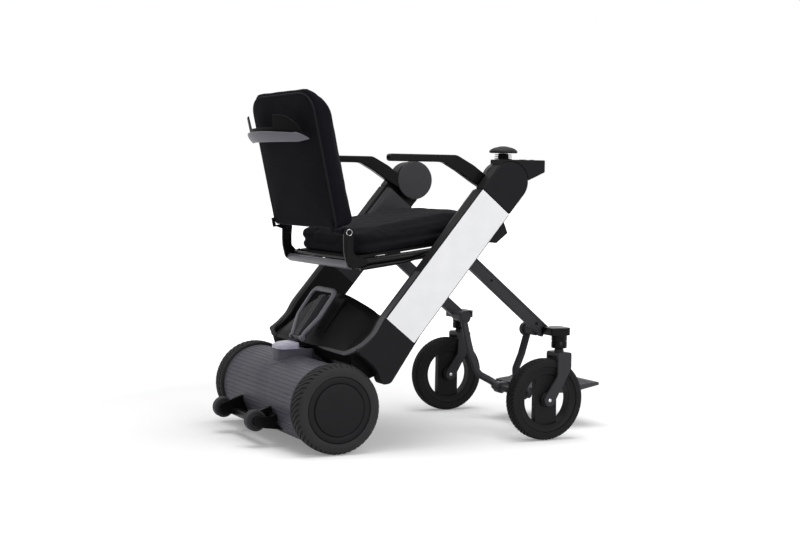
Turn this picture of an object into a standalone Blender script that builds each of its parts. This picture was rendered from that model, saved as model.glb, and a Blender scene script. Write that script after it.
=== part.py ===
"""Lightweight folding power chair: two slanted side arms, a ribbed drive drum between the rear
wheels, folding front legs on swivel casters, a seat, a folding backrest, armrests and a joystick.

Metres, +Z up. The chair faces -Y and its left side is +X. Lengths are given from the rear axle
line on the floor, and the whole chair is shifted forward at the end so that the origin lies under
the middle of its box.
"""
from math import acos, atan2, cos, degrees, hypot, pi, radians, sin

import bmesh
import bpy
from mathutils import Vector

# Gaps
TOUCH = 0.0003          # between pieces that rest on each other
RUN = 0.0005            # round a shaft that turns
FREE = 0.0012           # between faces that pass each other

# Rear wheels and the drive drum between them
WHEEL_R = 0.0997
WHEEL_FACE = 0.2774     # outer face of the wheel, from the middle of the chair
WHEEL_W = 0.0494
RIM_R = 0.0742
HUB_CAP_R = 0.0581
SHAFT_R = 0.0100
DRUM_R = 0.0913
DRUM_WALL = 0.0040
DRUM_HALF = 0.2265
END_T = 0.0062
MOTOR_R = 0.0560
MOTOR_L = 0.1300
NECK_HALF = 0.0305
NECK_REAR = 0.0450
NECK_TOP = 0.2080

# Casters
CASTER_R = 0.0957
CASTER_W = 0.0376
CASTER_X = 0.2500
STEM_Y = -0.5700
TRAIL = 0.0380
CASTER_RIM_R = 0.0770
WINDOW_R = 0.0600
WEB_HALF = 0.0290
FORK_T = 0.0072
FORK_GAP = 0.0015
CROWN_TOP = 0.2060
STEM_R = 0.0075
HOUSING_R = 0.0185
MOUNT_LOW = 0.2450
MOUNT_TOP = 0.2630
MOUNT_REAR = -0.5380
MOUNT_IN = 0.2130

# Side arms, measured along the arm (u) and across it (v) from the middle of its round top
ARM_TOP = (-0.4164, 0.6020)
ARM_TILT = radians(50.6)
ARM_HALF = 0.0466
ARM_OUT = 0.2770
ARM_IN = 0.2405
BAND_IN = 0.2205
SPLIT_U = 0.0585
INLAY_END_U = 0.4300
INLAY_HALF = 0.0440
INLAY_DEEP = 0.0020
WELL_R = 0.1035

# Seat and back
SEAT_TILT = radians(8.0)
SEAT_REAR = (-0.0980, 0.4150)
SEAT_HALF = 0.1860
SEAT_TUBE_X = 0.1735
SEAT_TUBE_WIDE = 0.1900
SEAT_TUBE_R = 0.0110
SEAT_BACK_F = -0.0230
SEAT_FRONT_F = 0.3300
SEAT_THICK_REAR = 0.0500
SEAT_THICK_FRONT = 0.0640
BOARD_T = 0.0060
BACK_PIVOT = (-0.0540, 0.4840)
BACK_LEAN = radians(12.6)
BACK_HALF = 0.1900
BACK_HIGH = 0.3320
BACK_LOW = 0.0120
BACK_FRONT_B = -0.0195
BACK_REAR_B = 0.0380
PANEL_T = 0.0080
CORNER_WIDE = 0.0850
CORNER_HIGH = 0.0460
EAR_IN = 0.1775
EAR_T = 0.0068
BRACKET_IN = 0.1848
BRACKET_T = 0.0062
HANDLE_SPAN = 0.1860
HANDLE_BOW = 0.0500
HANDLE_LOW = 0.2220
HANDLE_RIM = 0.2500
HANDLE_WING = 0.2860

# Armrests
HUB_IN = 0.2175
HUB_GROWS = 0.0024     # the free hub is larger than the one under the control box
REST_IN = 0.2190
REST_BAR_W = 0.0205
PAD_TOP = 0.6610
PAD_LOW = 0.6445
PAD_REAR = -0.1290

# Front legs
FOLD_PIVOT = (-0.3040, 0.4560)
PIVOT_R = 0.0100
LEG_IN = 0.2035
LEG_OUT = 0.2215
LEG_W = 0.0290
LEG_END = (-0.5480, 0.2515)
FOOT_PIVOT = (-0.5340, 0.2520)

# Footrest
FOOT_PIVOT_X = 0.1590
FOOT_BAR = (-0.5860, 0.0805)
FOOT_BAR_R = 0.0080
PLATE_REAR = -0.6050
PLATE_FRONT = -0.7650
PLATE_NARROW = 0.1120
PLATE_WIDE = 0.1280

# Anti-tip wheels
TIP_X = 0.1087
TIP_Y = 0.1336
TIP_Z = 0.0607
TIP_R = 0.0240
TIP_W = 0.0180
TIP_TIE = ((0.0860, 0.0560), (0.0980, 0.0600), (0.1000, 0.0700), (0.0880, 0.0760))

# Housing, battery and its handle
LIP = (-0.0370, 0.2155)
WALL_TILT = radians(54.8)
UNDER_STEPS = 6
BATTERY_HALF = 0.0550
BATTERY_LOW_S = 0.0150
BATTERY_TOP_S = 0.1080
BATTERY_DEEP = 0.0560
BATTERY_PROUD = 0.0080
RIDGE_HALF = 0.0125
RIDGE_D = 0.0340
HANDLE_R = 0.0050
HANDLE_HALF = 0.0630
HANDLE_TOP_S = 0.1070
HANDLE_FOOT_S = -0.0225
HANDLE_FOOT_D = 0.0290
HANDLE_FOOT_X = 0.0300

# Joystick and controls
STICK_X = -0.2449
STICK_Y = -0.4133
STICK_Z = 0.6545
KNOB_R = 0.0325
BOX_TOP = 0.6525
BOX_FRONT = -0.5060
BOX_REAR = -0.3915
BUTTON_X = -0.2500
BUTTON_Y = -0.4860
BUTTON_R = 0.0060
DIAL_Y = -0.4620
DIAL_R = 0.0085

AXLE_Y = (-PLATE_FRONT - TIP_Y - TIP_R) / 2     # moves the origin to the middle of the length
LEFT, RIGHT = 1, -1
SIDES = ((RIGHT, "right"), (LEFT, "left"))


# Scene, materials and empties

def clear_scene():
    for old in list(bpy.data.objects):
        bpy.data.objects.remove(old, do_unlink=True)


def make_material(name, colour, roughness, metallic=0.0):
    material = bpy.data.materials.new(name)
    material.use_nodes = True
    shader = material.node_tree.nodes["Principled BSDF"]
    shader.inputs["Base Color"].default_value = (*colour, 1.0)
    shader.inputs["Roughness"].default_value = roughness
    shader.inputs["Metallic"].default_value = metallic
    material.diffuse_color = (*colour, 1.0)
    return material


def make_materials():
    return {
        "shell": make_material("satin_black_shell", (0.022, 0.022, 0.026), 0.42),
        "inlay": make_material("white_inlay", (0.86, 0.86, 0.87), 0.38),
        "drum": make_material("grey_drum", (0.10, 0.10, 0.11), 0.50),
        "trim": make_material("light_grey_trim", (0.33, 0.33, 0.35), 0.38),
        "frame": make_material("black_frame", (0.018, 0.018, 0.020), 0.30, 0.4),
        "steel": make_material("bright_steel", (0.55, 0.55, 0.57), 0.28, 1.0),
        "motor": make_material("motor_metal", (0.30, 0.30, 0.32), 0.45, 0.9),
        "tyre": make_material("black_tyre", (0.030, 0.030, 0.032), 0.80),
        "wheel": make_material("black_wheel", (0.028, 0.028, 0.032), 0.50),
        "fabric": make_material("black_fabric", (0.010, 0.010, 0.012), 0.92),
        "rubber": make_material("soft_rubber", (0.014, 0.014, 0.015), 0.75),
        "grip": make_material("dark_grey_grip", (0.075, 0.075, 0.082), 0.45),
    }


CHAIR = None
MATERIALS = {}
EMPTIES = {}


def body_empty(name, place, parent=None):
    """An empty on a joint's axis, placed by its offset from its parent's empty."""
    empty = bpy.data.objects.new(name, None)
    bpy.context.scene.collection.objects.link(empty)
    empty.empty_display_size = 0.03
    base = EMPTIES[parent][1] if parent else Vector((0, 0, 0))
    empty.parent = EMPTIES[parent][0] if parent else CHAIR
    empty.location = Vector(place) - base
    EMPTIES[name] = (empty, Vector(place))
    return empty


def add(name, mesh_bm, material, body=None, sharp=35.0, bevel=0.0, segments=1, angle=40.0):
    """One named solid. Its mesh is moved so that its origin is its body's empty."""
    bmesh.ops.recalc_face_normals(mesh_bm, faces=mesh_bm.faces)
    empty, place = EMPTIES[body] if body else (CHAIR, Vector((0, 0, 0)))
    bmesh.ops.translate(mesh_bm, verts=mesh_bm.verts, vec=-place)
    mesh = bpy.data.meshes.new(name)
    mesh_bm.to_mesh(mesh)
    mesh_bm.free()
    mesh.shade_smooth()
    mesh.set_sharp_from_angle(angle=radians(sharp))
    mesh.materials.append(MATERIALS[material])
    piece = bpy.data.objects.new(name, mesh)
    bpy.context.scene.collection.objects.link(piece)
    piece.parent = empty
    if bevel:
        edge = piece.modifiers.new("edges", "BEVEL")
        edge.width = bevel
        edge.segments = segments
        edge.limit_method = "ANGLE"
        edge.angle_limit = radians(angle)
        edge.harden_normals = False
    return piece


def combine(piece, tool_bm, how):
    """Cut or join a helper solid, given in the same coordinates as the piece was."""
    index = len([m for m in piece.modifiers if m.type == "BOOLEAN"])
    bmesh.ops.recalc_face_normals(tool_bm, faces=tool_bm.faces)
    mesh = bpy.data.meshes.new(f"{piece.name}_tool{index}")
    tool_bm.to_mesh(mesh)
    tool_bm.free()
    tool = bpy.data.objects.new(mesh.name, mesh)
    bpy.context.scene.collection.objects.link(tool)
    tool.parent = CHAIR
    tool.hide_render = True
    tool.display_type = "WIRE"
    step = piece.modifiers.new(f"{how.lower()}_{index}", "BOOLEAN")
    step.operation = how
    step.solver = "EXACT"
    step.object = tool


def cut(piece, tool_bm):
    combine(piece, tool_bm, "DIFFERENCE")


def join(piece, tool_bm):
    combine(piece, tool_bm, "UNION")


# Shapes

def prism(outline, low, high, axis="X"):
    """A closed outline in the plane across the axis, extruded from low to high."""
    place = {
        "X": lambda p, along: (along, p[0], p[1]),
        "Y": lambda p, along: (p[0], along, p[1]),
        "Z": lambda p, along: (p[0], p[1], along),
    }[axis]
    bm = bmesh.new()
    ends = [[bm.verts.new(place(p, along)) for p in outline] for along in (low, high)]
    count = len(outline)
    for i in range(count):
        j = (i + 1) % count
        bm.faces.new((ends[0][i], ends[0][j], ends[1][j], ends[1][i]))
    bm.faces.new(ends[0])
    bm.faces.new(list(reversed(ends[1])))
    return bm


def side_prism(outline, side, inner, outer):
    """A prism along X on one side of the chair, from inner to outer distance."""
    low, high = sorted((side * inner, side * outer))
    return prism(outline, low, high)


def turned(profile, place, axis="X", count=32, shift=0.0):
    """A profile of (along, radius) turned about an axis through place. A profile that starts and
    ends on the axis makes a solid, and any other is closed on itself into a ring. A shift of a half
    puts a flat, not a corner, at the bottom."""
    frame = {
        "X": (Vector((1, 0, 0)), Vector((0, 1, 0)), Vector((0, 0, 1))),
        "Z": (Vector((0, 0, 1)), Vector((1, 0, 0)), Vector((0, 1, 0))),
    }[axis]
    along, side_a, side_b = frame
    base = Vector(place)
    bm = bmesh.new()
    rings = []
    for offset, radius in profile:
        if radius == 0:
            rings.append([bm.verts.new(base + along * offset)])
            continue
        ring = []
        for i in range(count):
            turn = 2 * pi * (i + shift) / count
            ring.append(bm.verts.new(base + along * offset
                                     + (side_a * cos(turn) + side_b * sin(turn)) * radius))
        rings.append(ring)
    solid = len(rings[0]) == 1
    pairs = list(zip(rings, rings[1:])) if solid else list(zip(rings, rings[1:] + rings[:1]))
    for first, second in pairs:
        for i in range(count):
            j = (i + 1) % count
            corners = [first[i % len(first)], first[j % len(first)],
                       second[j % len(second)], second[i % len(second)]]
            unique = list(dict.fromkeys(corners))
            if len(unique) > 2:
                bm.faces.new(unique)
    return bm


def tread_ring(profile, tread, place, count):
    """A tyre about X whose flats, not its corners, lie at the tread's radius."""
    grown = [(x, r / cos(pi / count) if r > 0.85 * tread else r) for x, r in profile]
    return turned(grown, place, "X", count, 0.5)


def disc(place, radius, low, high, axis="X", count=32):
    """A plain cylinder from low to high along its axis, measured from place."""
    return turned([(low, 0), (low, radius), (high, radius), (high, 0)], place, axis, count)


def arc(centre, radius, start, end, steps):
    """Points of an arc in a plane, angles in degrees, both ends included."""
    points = []
    for i in range(steps + 1):
        turn = radians(start + (end - start) * i / steps)
        points.append((centre[0] + radius * cos(turn), centre[1] + radius * sin(turn)))
    return points


def rounded_box(low, high, corner, axis="Z", steps=4):
    """A box whose outline across one axis has round corners."""
    index = "XYZ".index(axis)
    a, b = [i for i in range(3) if i != index]
    outline = []
    for sign_a, sign_b, start in ((1, 1, 0), (-1, 1, 90), (-1, -1, 180), (1, -1, 270)):
        centre = ((high[a] if sign_a > 0 else low[a]) - sign_a * corner,
                  (high[b] if sign_b > 0 else low[b]) - sign_b * corner)
        outline += arc(centre, corner, start, start + 90, steps)
    return prism(outline, low[index], high[index], axis)


def bent_path(points, bend, steps=4):
    """A path through corner points with each corner rounded by the bend radius."""
    corners = [Vector(p) for p in points]
    path = [corners[0]]
    for before, corner, after in zip(corners, corners[1:], corners[2:]):
        into = (before - corner).normalized()
        out = (after - corner).normalized()
        half = into.angle(out) / 2
        if half > radians(88):
            path.append(corner)
            continue
        reach = bend / max(0.05, abs(sin(half) / cos(half)))
        reach = min(reach, (before - corner).length * 0.45, (after - corner).length * 0.45)
        start = corner + into * reach
        end = corner + out * reach
        for i in range(steps + 1):
            t = i / steps
            path.append(start * (1 - t) ** 2 + corner * 2 * t * (1 - t) + end * t ** 2)
    path.append(corners[-1])
    return path


def swept(path, half_a, half_b, sides=12, up=(0, 0, 1)):
    """An oval section carried along a path. half_a lies across the path and up, half_b along up."""
    points = [Vector(p) for p in path]
    bm = bmesh.new()
    rings = []
    across = None
    for i, point in enumerate(points):
        ahead = points[min(i + 1, len(points) - 1)] - points[max(i - 1, 0)]
        ahead.normalize()
        if across is None:
            across = ahead.cross(Vector(up)).normalized()
        across = (across - ahead * across.dot(ahead)).normalized()
        above = across.cross(ahead).normalized()
        ring = []
        for k in range(sides):
            turn = 2 * pi * k / sides
            ring.append(bm.verts.new(point + across * half_a * cos(turn) + above * half_b * sin(turn)))
        rings.append(ring)
    for first, second in zip(rings, rings[1:]):
        for k in range(sides):
            j = (k + 1) % sides
            bm.faces.new((first[k], first[j], second[j], second[k]))
    bm.faces.new(rings[0])
    bm.faces.new(list(reversed(rings[-1])))
    return bm


def lofted(sections):
    """Closed outlines with equal point counts, joined in order and capped at both ends."""
    bm = bmesh.new()
    rings = [[bm.verts.new(p) for p in section] for section in sections]
    count = len(rings[0])
    for first, second in zip(rings, rings[1:]):
        for i in range(count):
            j = (i + 1) % count
            bm.faces.new((first[i], first[j], second[j], second[i]))
    bm.faces.new(rings[0])
    bm.faces.new(list(reversed(rings[-1])))
    return bm


def on_arm(u, v):
    """A point of the side view from arm coordinates: u down the arm, v towards its rear edge."""
    return (ARM_TOP[0] + u * cos(ARM_TILT) + v * sin(ARM_TILT),
            ARM_TOP[1] - u * sin(ARM_TILT) + v * cos(ARM_TILT))


def on_seat(f, g):
    """A point of the side view from seat coordinates: f forward, g up from the tube's middle."""
    return (SEAT_REAR[0] - f * cos(SEAT_TILT) + g * sin(SEAT_TILT),
            SEAT_REAR[1] + f * sin(SEAT_TILT) + g * cos(SEAT_TILT))


def on_back(a, b):
    """A point of the side view from back coordinates: a up the back, b towards its rear."""
    return (BACK_PIVOT[0] + a * sin(BACK_LEAN) + b * cos(BACK_LEAN),
            BACK_PIVOT[1] + a * cos(BACK_LEAN) - b * sin(BACK_LEAN))


def on_wall(s, d):
    """A point of the side view from the housing's rear wall: s up the wall, d out of it."""
    foot = (LIP[0] - 0.008, LIP[1] + 0.0195)
    return (foot[0] - s * cos(WALL_TILT) + d * sin(WALL_TILT),
            foot[1] + s * sin(WALL_TILT) + d * cos(WALL_TILT))


# Side arms

def arm_outline():
    """Side view of an arm from the cap's split line down to the wheel well."""
    axle = (0.0, WHEEL_R)
    rear = [on_arm(SPLIT_U + TOUCH, ARM_HALF), on_arm(0.435, ARM_HALF), (-0.0790, 0.2650),
            (-0.0620, 0.2420), (-0.0480, 0.2180), (-0.0400, 0.2090), (-0.0370, 0.2020), (-0.0400, 0.1965)]
    well = arc(axle, WELL_R, 115, 147, 6)
    front = [(-0.0980, 0.1590), (-0.1090, 0.1660), (-0.1190, 0.1750), (-0.1430, 0.1980),
             on_arm(0.425, -ARM_HALF), on_arm(SPLIT_U + TOUCH, -ARM_HALF)]
    return rear + well + front


def make_arm(side, word):
    arm = add(f"arm_{word}", side_prism(arm_outline(), side, ARM_IN, ARM_OUT), "shell",
              bevel=0.0020)
    band_rear = ARM_HALF - 0.0090
    sections = []
    for u, inner in ((0.0600, BAND_IN), (0.1400, BAND_IN), (0.3000, ARM_IN - 0.0010)):
        corners = [(inner, *on_arm(u, -ARM_HALF + 0.004)), (ARM_IN + 0.004, *on_arm(u, -ARM_HALF + 0.002)),
                   (ARM_IN + 0.004, *on_arm(u, band_rear + 0.004)), (inner, *on_arm(u, band_rear))]
        sections.append([(side * x, y, z) for x, y, z in corners])
    join(arm, lofted(sections))
    recess = [on_arm(SPLIT_U + TOUCH - 0.01, INLAY_HALF + TOUCH), on_arm(INLAY_END_U + TOUCH, INLAY_HALF + TOUCH),
              on_arm(INLAY_END_U + TOUCH, -INLAY_HALF - TOUCH), on_arm(SPLIT_U + TOUCH - 0.01, -INLAY_HALF - TOUCH)]
    cut(arm, side_prism(recess, side, ARM_OUT - INLAY_DEEP - TOUCH, ARM_OUT + 0.01))

    panel = [on_arm(SPLIT_U + TOUCH, INLAY_HALF), on_arm(INLAY_END_U, INLAY_HALF),
             on_arm(INLAY_END_U, -INLAY_HALF), on_arm(SPLIT_U + TOUCH, -INLAY_HALF)]
    add(f"inlay_{word}", side_prism(panel, side, ARM_OUT - INLAY_DEEP, ARM_OUT), "inlay")

    tilt = degrees(ARM_TILT)
    cap_outline = arc(ARM_TOP, ARM_HALF, 90 - tilt, 270 - tilt, 16)
    cap_outline += [on_arm(SPLIT_U, -ARM_HALF), on_arm(SPLIT_U, ARM_HALF)]
    cap = add(f"arm_cap_{word}", side_prism(cap_outline, side, ARM_IN, ARM_OUT), "shell",
              bevel=0.0020)
    pin = disc((0, *ARM_TOP), SHAFT_R, *sorted((side * (HUB_IN + 0.008), side * (ARM_IN + 0.006))), count=24)
    join(cap, pin)


def make_armrest(side, word):
    """A hub that turns on the cap's pin and a rounded bar that climbs from it and runs level."""
    body = f"armrest_{word}_axis"
    body_empty(body, (side * (HUB_IN + ARM_IN) / 2, *ARM_TOP))
    bar = [(PAD_REAR, PAD_LOW), (PAD_REAR, PAD_TOP), (-0.2960, PAD_TOP), (-0.3105, 0.6575),
           (-0.3260, 0.6500), (-0.3415, 0.6385), (-0.3570, 0.6265), (-0.3730, 0.6155), (-0.3880, 0.6060),
           (-0.3740, 0.5800), (-0.3600, 0.5870), (-0.3416, 0.5985), (-0.3207, 0.6120), (-0.2999, 0.6250),
           (-0.2790, 0.6370), (-0.2610, PAD_LOW)]
    rest = add(f"armrest_{word}", side_prism(bar, side, REST_IN, REST_IN + REST_BAR_W), "frame", body,
               bevel=0.0035, segments=2)
    hub_r = ARM_HALF + (HUB_GROWS if side == LEFT else -TOUCH)
    hub = turned([(side * HUB_IN, SHAFT_R + RUN), (side * HUB_IN, hub_r - 0.002),
                  (side * (HUB_IN + 0.002), hub_r), (side * (ARM_IN - TOUCH), hub_r),
                  (side * (ARM_IN - TOUCH), SHAFT_R + RUN)], (0, *ARM_TOP), count=32)
    join(rest, hub)
    cut(rest, disc((0, *ARM_TOP), SHAFT_R + RUN, -0.3, 0.3, count=24))


# Housing, drive and battery

def make_housing():
    """The body between the arms, highest in the middle and falling towards each arm."""
    crest = 0.3360
    outline = [LIP, on_wall(0.0, 0.0), on_wall(0.060, 0.0), on_wall(0.108, 0.0), (-0.1240, crest),
               (-0.1400, 0.3190), (-0.1760, 0.2960), (-0.1860, 0.2760), (-0.1640, 0.2300),
               (-0.1360, 0.1960), (-0.1060, 0.1680)]
    outline += list(reversed(arc((0.0, WHEEL_R), WELL_R, 116, 144, UNDER_STEPS)))
    stations = ((0.0, 0.3360), (0.090, 0.3250), (0.165, 0.3110), (0.195, 0.2980),
                (0.213, 0.2860), (ARM_IN - TOUCH, 0.2700))
    rows = [(-x, top) for x, top in reversed(stations[1:])] + list(stations)
    sections = []
    for x, top in rows:
        share = (top - LIP[1]) / (crest - LIP[1])
        sections.append([(x, y - (0.010 if z > LIP[1] and y > -0.15 else 0.0) * (1 - share),
                          LIP[1] + (z - LIP[1]) * share if z > LIP[1] else z) for y, z in outline])
    housing = add("body_housing", lofted(sections), "shell", sharp=30)
    bay = [on_wall(BATTERY_LOW_S - RUN, 0.05), on_wall(BATTERY_TOP_S + RUN, 0.05),
           on_wall(BATTERY_TOP_S + RUN, -BATTERY_DEEP - RUN), on_wall(BATTERY_LOW_S - RUN, -BATTERY_DEEP - RUN)]
    cut(housing, prism(bay, -BATTERY_HALF - RUN, BATTERY_HALF + RUN))


def make_battery():
    """The pack slides straight out of its bay. A raised ridge runs down its rear face."""
    body_empty("battery_axis", (0.0, *on_wall((BATTERY_LOW_S + BATTERY_TOP_S) / 2, 0.0)))
    pack = [on_wall(BATTERY_LOW_S, BATTERY_PROUD), on_wall(BATTERY_TOP_S, BATTERY_PROUD),
            on_wall(BATTERY_TOP_S, -BATTERY_DEEP), on_wall(BATTERY_LOW_S, -BATTERY_DEEP)]
    battery = add("battery_pack", prism(pack, -BATTERY_HALF, BATTERY_HALF), "shell", "battery_axis",
                  bevel=0.0020)
    ridge = [on_wall(0.1000, 0.0060), on_wall(0.0960, RIDGE_D), on_wall(-0.0160, RIDGE_D),
             on_wall(-0.0270, 0.0310), on_wall(-0.0295, 0.0250), on_wall(-0.0250, 0.0190), on_wall(0.0180, 0.0060)]
    join(battery, prism(ridge, -RIDGE_HALF, RIDGE_HALF))
    foot = on_wall(HANDLE_FOOT_S, HANDLE_FOOT_D)
    reach = HANDLE_FOOT_X + 0.0030
    join(battery, disc((0, *foot), 0.0030, -reach, reach, count=16))

    body_empty("battery_handle_axis", (0.0, *foot), "battery_axis")
    near = HANDLE_FOOT_X
    half = [(near, *on_wall(HANDLE_FOOT_S - 0.0010, HANDLE_FOOT_D)), (HANDLE_HALF, *on_wall(0.0320, RIDGE_D)),
            (HANDLE_HALF, *on_wall(HANDLE_TOP_S, RIDGE_D))]
    loop = [(-x, y, z) for x, y, z in half] + list(reversed(half))
    handle = add("battery_handle", swept(bent_path(loop, 0.022, 3), HANDLE_R, HANDLE_R * 0.8, 8, (0, 1, 0)),
                 "trim", "battery_handle_axis")
    for side in (RIGHT, LEFT):
        low, high = sorted((side * (near - 0.0050), side * (near + 0.0050)))
        join(handle, disc((0, *foot), 0.0070, low, high, count=20))
        cut(handle, disc((0, *foot), 0.0030 + RUN, *sorted((side * RIDGE_HALF, side * (near + 0.02))), count=16))


def make_drive():
    """The drum's tube, its two end plates, the motors inside and the neck on top."""
    inner = DRUM_HALF - END_T - TOUCH
    tube = [(-inner, DRUM_R - DRUM_WALL), (-inner, DRUM_R), (inner, DRUM_R), (inner, DRUM_R - DRUM_WALL)]
    add("drive_drum", turned(tube, (0, 0, WHEEL_R), count=40), "drum")
    for side, word in SIDES:
        face = side * DRUM_HALF
        seat = side * (DRUM_HALF - END_T)
        spigot = side * (DRUM_HALF - END_T - 0.0100)
        bore = SHAFT_R + RUN
        end = [(face, bore), (face, DRUM_R - 0.002), (side * (DRUM_HALF - 0.002), DRUM_R), (seat, DRUM_R),
               (seat, DRUM_R - DRUM_WALL - RUN), (spigot, DRUM_R - DRUM_WALL - RUN), (spigot, bore)]
        add(f"drive_end_{word}", turned(end, (0, 0, WHEEL_R), count=32), "drum")
        start = DRUM_HALF - END_T - 0.0100 - TOUCH
        motor = [(side * (start - MOTOR_L), 0), (side * (start - MOTOR_L), MOTOR_R), (side * start, MOTOR_R),
                 (side * start, SHAFT_R), (side * (WHEEL_FACE - 0.008), SHAFT_R), (side * (WHEEL_FACE - 0.008), 0)]
        add(f"motor_{word}", turned(motor, (0, 0, WHEEL_R), count=28), "motor")
    neck = add("drive_neck", rounded_box((-NECK_HALF, -0.0385, 0.1600), (NECK_HALF, NECK_REAR, NECK_TOP), 0.0200),
               "drum")
    root = [(-0.0200, 0.1600), (-0.0200, NECK_TOP), (-0.0390, NECK_TOP)]
    root += arc((0.0, WHEEL_R), WELL_R - TOUCH, 116, 144, UNDER_STEPS) + [(-0.0650, 0.1450)]
    join(neck, prism(root, -NECK_HALF + 0.004, NECK_HALF - 0.004))
    cut(neck, disc((0, 0, WHEEL_R), DRUM_R + TOUCH, -0.1, 0.1, count=80))
    low = NECK_TOP + TOUCH
    top = [(-0.0030, low), (-0.0030, 0.2225), (0.0030, 0.2245), (0.0150, 0.2245), (0.0380, 0.2190), (0.0465, 0.2140),
           (0.0465, low)]
    add("drive_cap", prism(top, -NECK_HALF - 0.002, NECK_HALF + 0.002), "trim", bevel=0.0030, segments=3)


def make_rear_wheel(side, word):
    body = f"rear_wheel_{word}_axis"
    middle = side * (WHEEL_FACE - WHEEL_W / 2)
    body_empty(body, (middle, 0, WHEEL_R))
    inner = WHEEL_FACE - WHEEL_W
    bead = RIM_R + RUN
    tyre = [(inner, bead), (inner, 0.0880), (inner + 0.003, 0.0950), (inner + 0.009, WHEEL_R),
            (WHEEL_FACE - 0.009, WHEEL_R), (WHEEL_FACE - 0.003, 0.0950), (WHEEL_FACE, 0.0880), (WHEEL_FACE, bead)]
    add(f"rear_tyre_{word}", tread_ring([(side * x, r) for x, r in tyre], WHEEL_R, (0, 0, WHEEL_R), 36), "tyre", body)
    face = WHEEL_FACE - 0.0020
    seat = face - 0.0030
    bore = SHAFT_R + RUN
    rim = [(inner + 0.002, bore), (inner + 0.002, RIM_R), (face, RIM_R), (face, HUB_CAP_R + RUN),
           (seat, HUB_CAP_R + RUN), (seat, bore)]
    add(f"rear_rim_{word}", turned([(side * x, r) for x, r in rim], (0, 0, WHEEL_R), count=28), "wheel", body)
    cap = [(seat + TOUCH, 0), (seat + TOUCH, HUB_CAP_R), (WHEEL_FACE - 0.0012, HUB_CAP_R),
           (WHEEL_FACE - 0.0004, HUB_CAP_R - 0.002), (WHEEL_FACE - 0.0004, 0)]
    add(f"rear_hub_cap_{word}", turned([(side * x, r) for x, r in cap], (0, 0, WHEEL_R), count=28), "wheel", body)


def make_anti_tip():
    """Two small rollers on plates that hang from the back of the drum."""
    inner = TIP_X - TIP_W / 2 - FREE
    plate = [(DRUM_R + 0.0010, WHEEL_R - 0.0100), (0.1120, 0.0830)]
    plate += arc((TIP_Y, TIP_Z), 0.0140, 60, -100, 8)
    plate += [(0.1000, 0.0420), (0.0750, 0.0360)]
    for turn in (-48, -38, -28, -18):
        angle = radians(turn)
        plate.append(((DRUM_R + 0.0010) * cos(angle), WHEEL_R + (DRUM_R + 0.0010) * sin(angle)))
    frame = add("anti_tip_frame", prism(plate, inner - 0.0080, inner), "frame")
    mirrored = prism(plate, -inner, -inner + 0.0080)
    join(frame, mirrored)
    join(frame, rounded_box((-inner + 0.004, 0.0980, 0.0440), (inner - 0.004, 0.1200, 0.0600), 0.0050, "X"))
    outer = TIP_X + TIP_W / 2 + FREE
    arm = plate[10:] + arc((TIP_Y, TIP_Z), 0.0100, 110, -80, 8)
    for side in (RIGHT, LEFT):
        join(frame, side_prism(arm, side, outer, outer + 0.0060))
        low, high = sorted((side * (inner - 0.004), side * (outer + 0.0040)))
        join(frame, disc((0, TIP_Y, TIP_Z), 0.0050, low, high, count=20))
        low, high = sorted((side * (inner - 0.004), side * (outer + 0.0040)))
        join(frame, prism(TIP_TIE, low, high))
    for side, word in SIDES:
        body = f"tip_roller_{word}_axis"
        body_empty(body, (side * TIP_X, TIP_Y, TIP_Z))
        half = TIP_W / 2
        bore = 0.0050 + RUN
        roller = [(-half, bore), (-half, TIP_R - 0.003), (-half + 0.003, TIP_R), (half - 0.003, TIP_R),
                  (half, TIP_R - 0.003), (half, bore)]
        add(f"tip_roller_{word}", turned(roller, (side * TIP_X, TIP_Y, TIP_Z), count=32), "wheel", body)


# Seat and back

def make_seat():
    tube_g = 0.0
    front_f = SEAT_FRONT_F - 0.030
    half = [(SEAT_TUBE_X, *on_seat(SEAT_BACK_F + 0.004, tube_g)), (SEAT_TUBE_X, *on_seat(0.0300, tube_g)),
            (SEAT_TUBE_WIDE, *on_seat(0.1100, tube_g)), (SEAT_TUBE_WIDE, *on_seat(front_f, tube_g))]
    corners = [(-x, y, z) for x, y, z in half] + list(reversed(half))
    frame = add("seat_frame", swept(bent_path(corners, 0.045, 4), SEAT_TUBE_R, SEAT_TUBE_R, 10), "frame")
    stub_end = band_inner(arm_uv(FOLD_PIVOT)[0] - PIVOT_R) - TOUCH
    for side in (RIGHT, LEFT):
        low, high = sorted((side * (SEAT_TUBE_WIDE - 0.004), side * stub_end))
        join(frame, disc((0, *FOLD_PIVOT), PIVOT_R, low, high, count=24))
    bar = on_seat(SEAT_BACK_F - 0.0125, 0.0)
    add("seat_crossbar", disc((0, *bar), 0.0090, -BRACKET_IN + TOUCH, BRACKET_IN - TOUCH, count=20), "trim",
        bevel=0.0020)
    board_low = SEAT_TUBE_R + TOUCH
    board = [on_seat(SEAT_BACK_F + 0.008, board_low), on_seat(SEAT_BACK_F + 0.008, board_low + BOARD_T),
             on_seat(SEAT_FRONT_F - 0.012, board_low + BOARD_T), on_seat(SEAT_FRONT_F - 0.012, board_low)]
    add("seat_board", prism(board, -SEAT_TUBE_X, SEAT_TUBE_X), "rubber")
    make_seat_cushion(board_low + BOARD_T + TOUCH)


def arm_uv(point):
    """Arm coordinates of a point of the side view."""
    dy, dz = point[0] - ARM_TOP[0], point[1] - ARM_TOP[1]
    return (dy * cos(ARM_TILT) - dz * sin(ARM_TILT), dy * sin(ARM_TILT) + dz * cos(ARM_TILT))


def band_inner(u):
    """Inner face of the arm's thick upper part at u, which thins out from 0.14 to 0.30."""
    share = min(1.0, max(0.0, (u - 0.1400) / 0.1600))
    return BAND_IN + (ARM_IN - 0.0010 - BAND_IN) * share


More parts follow.
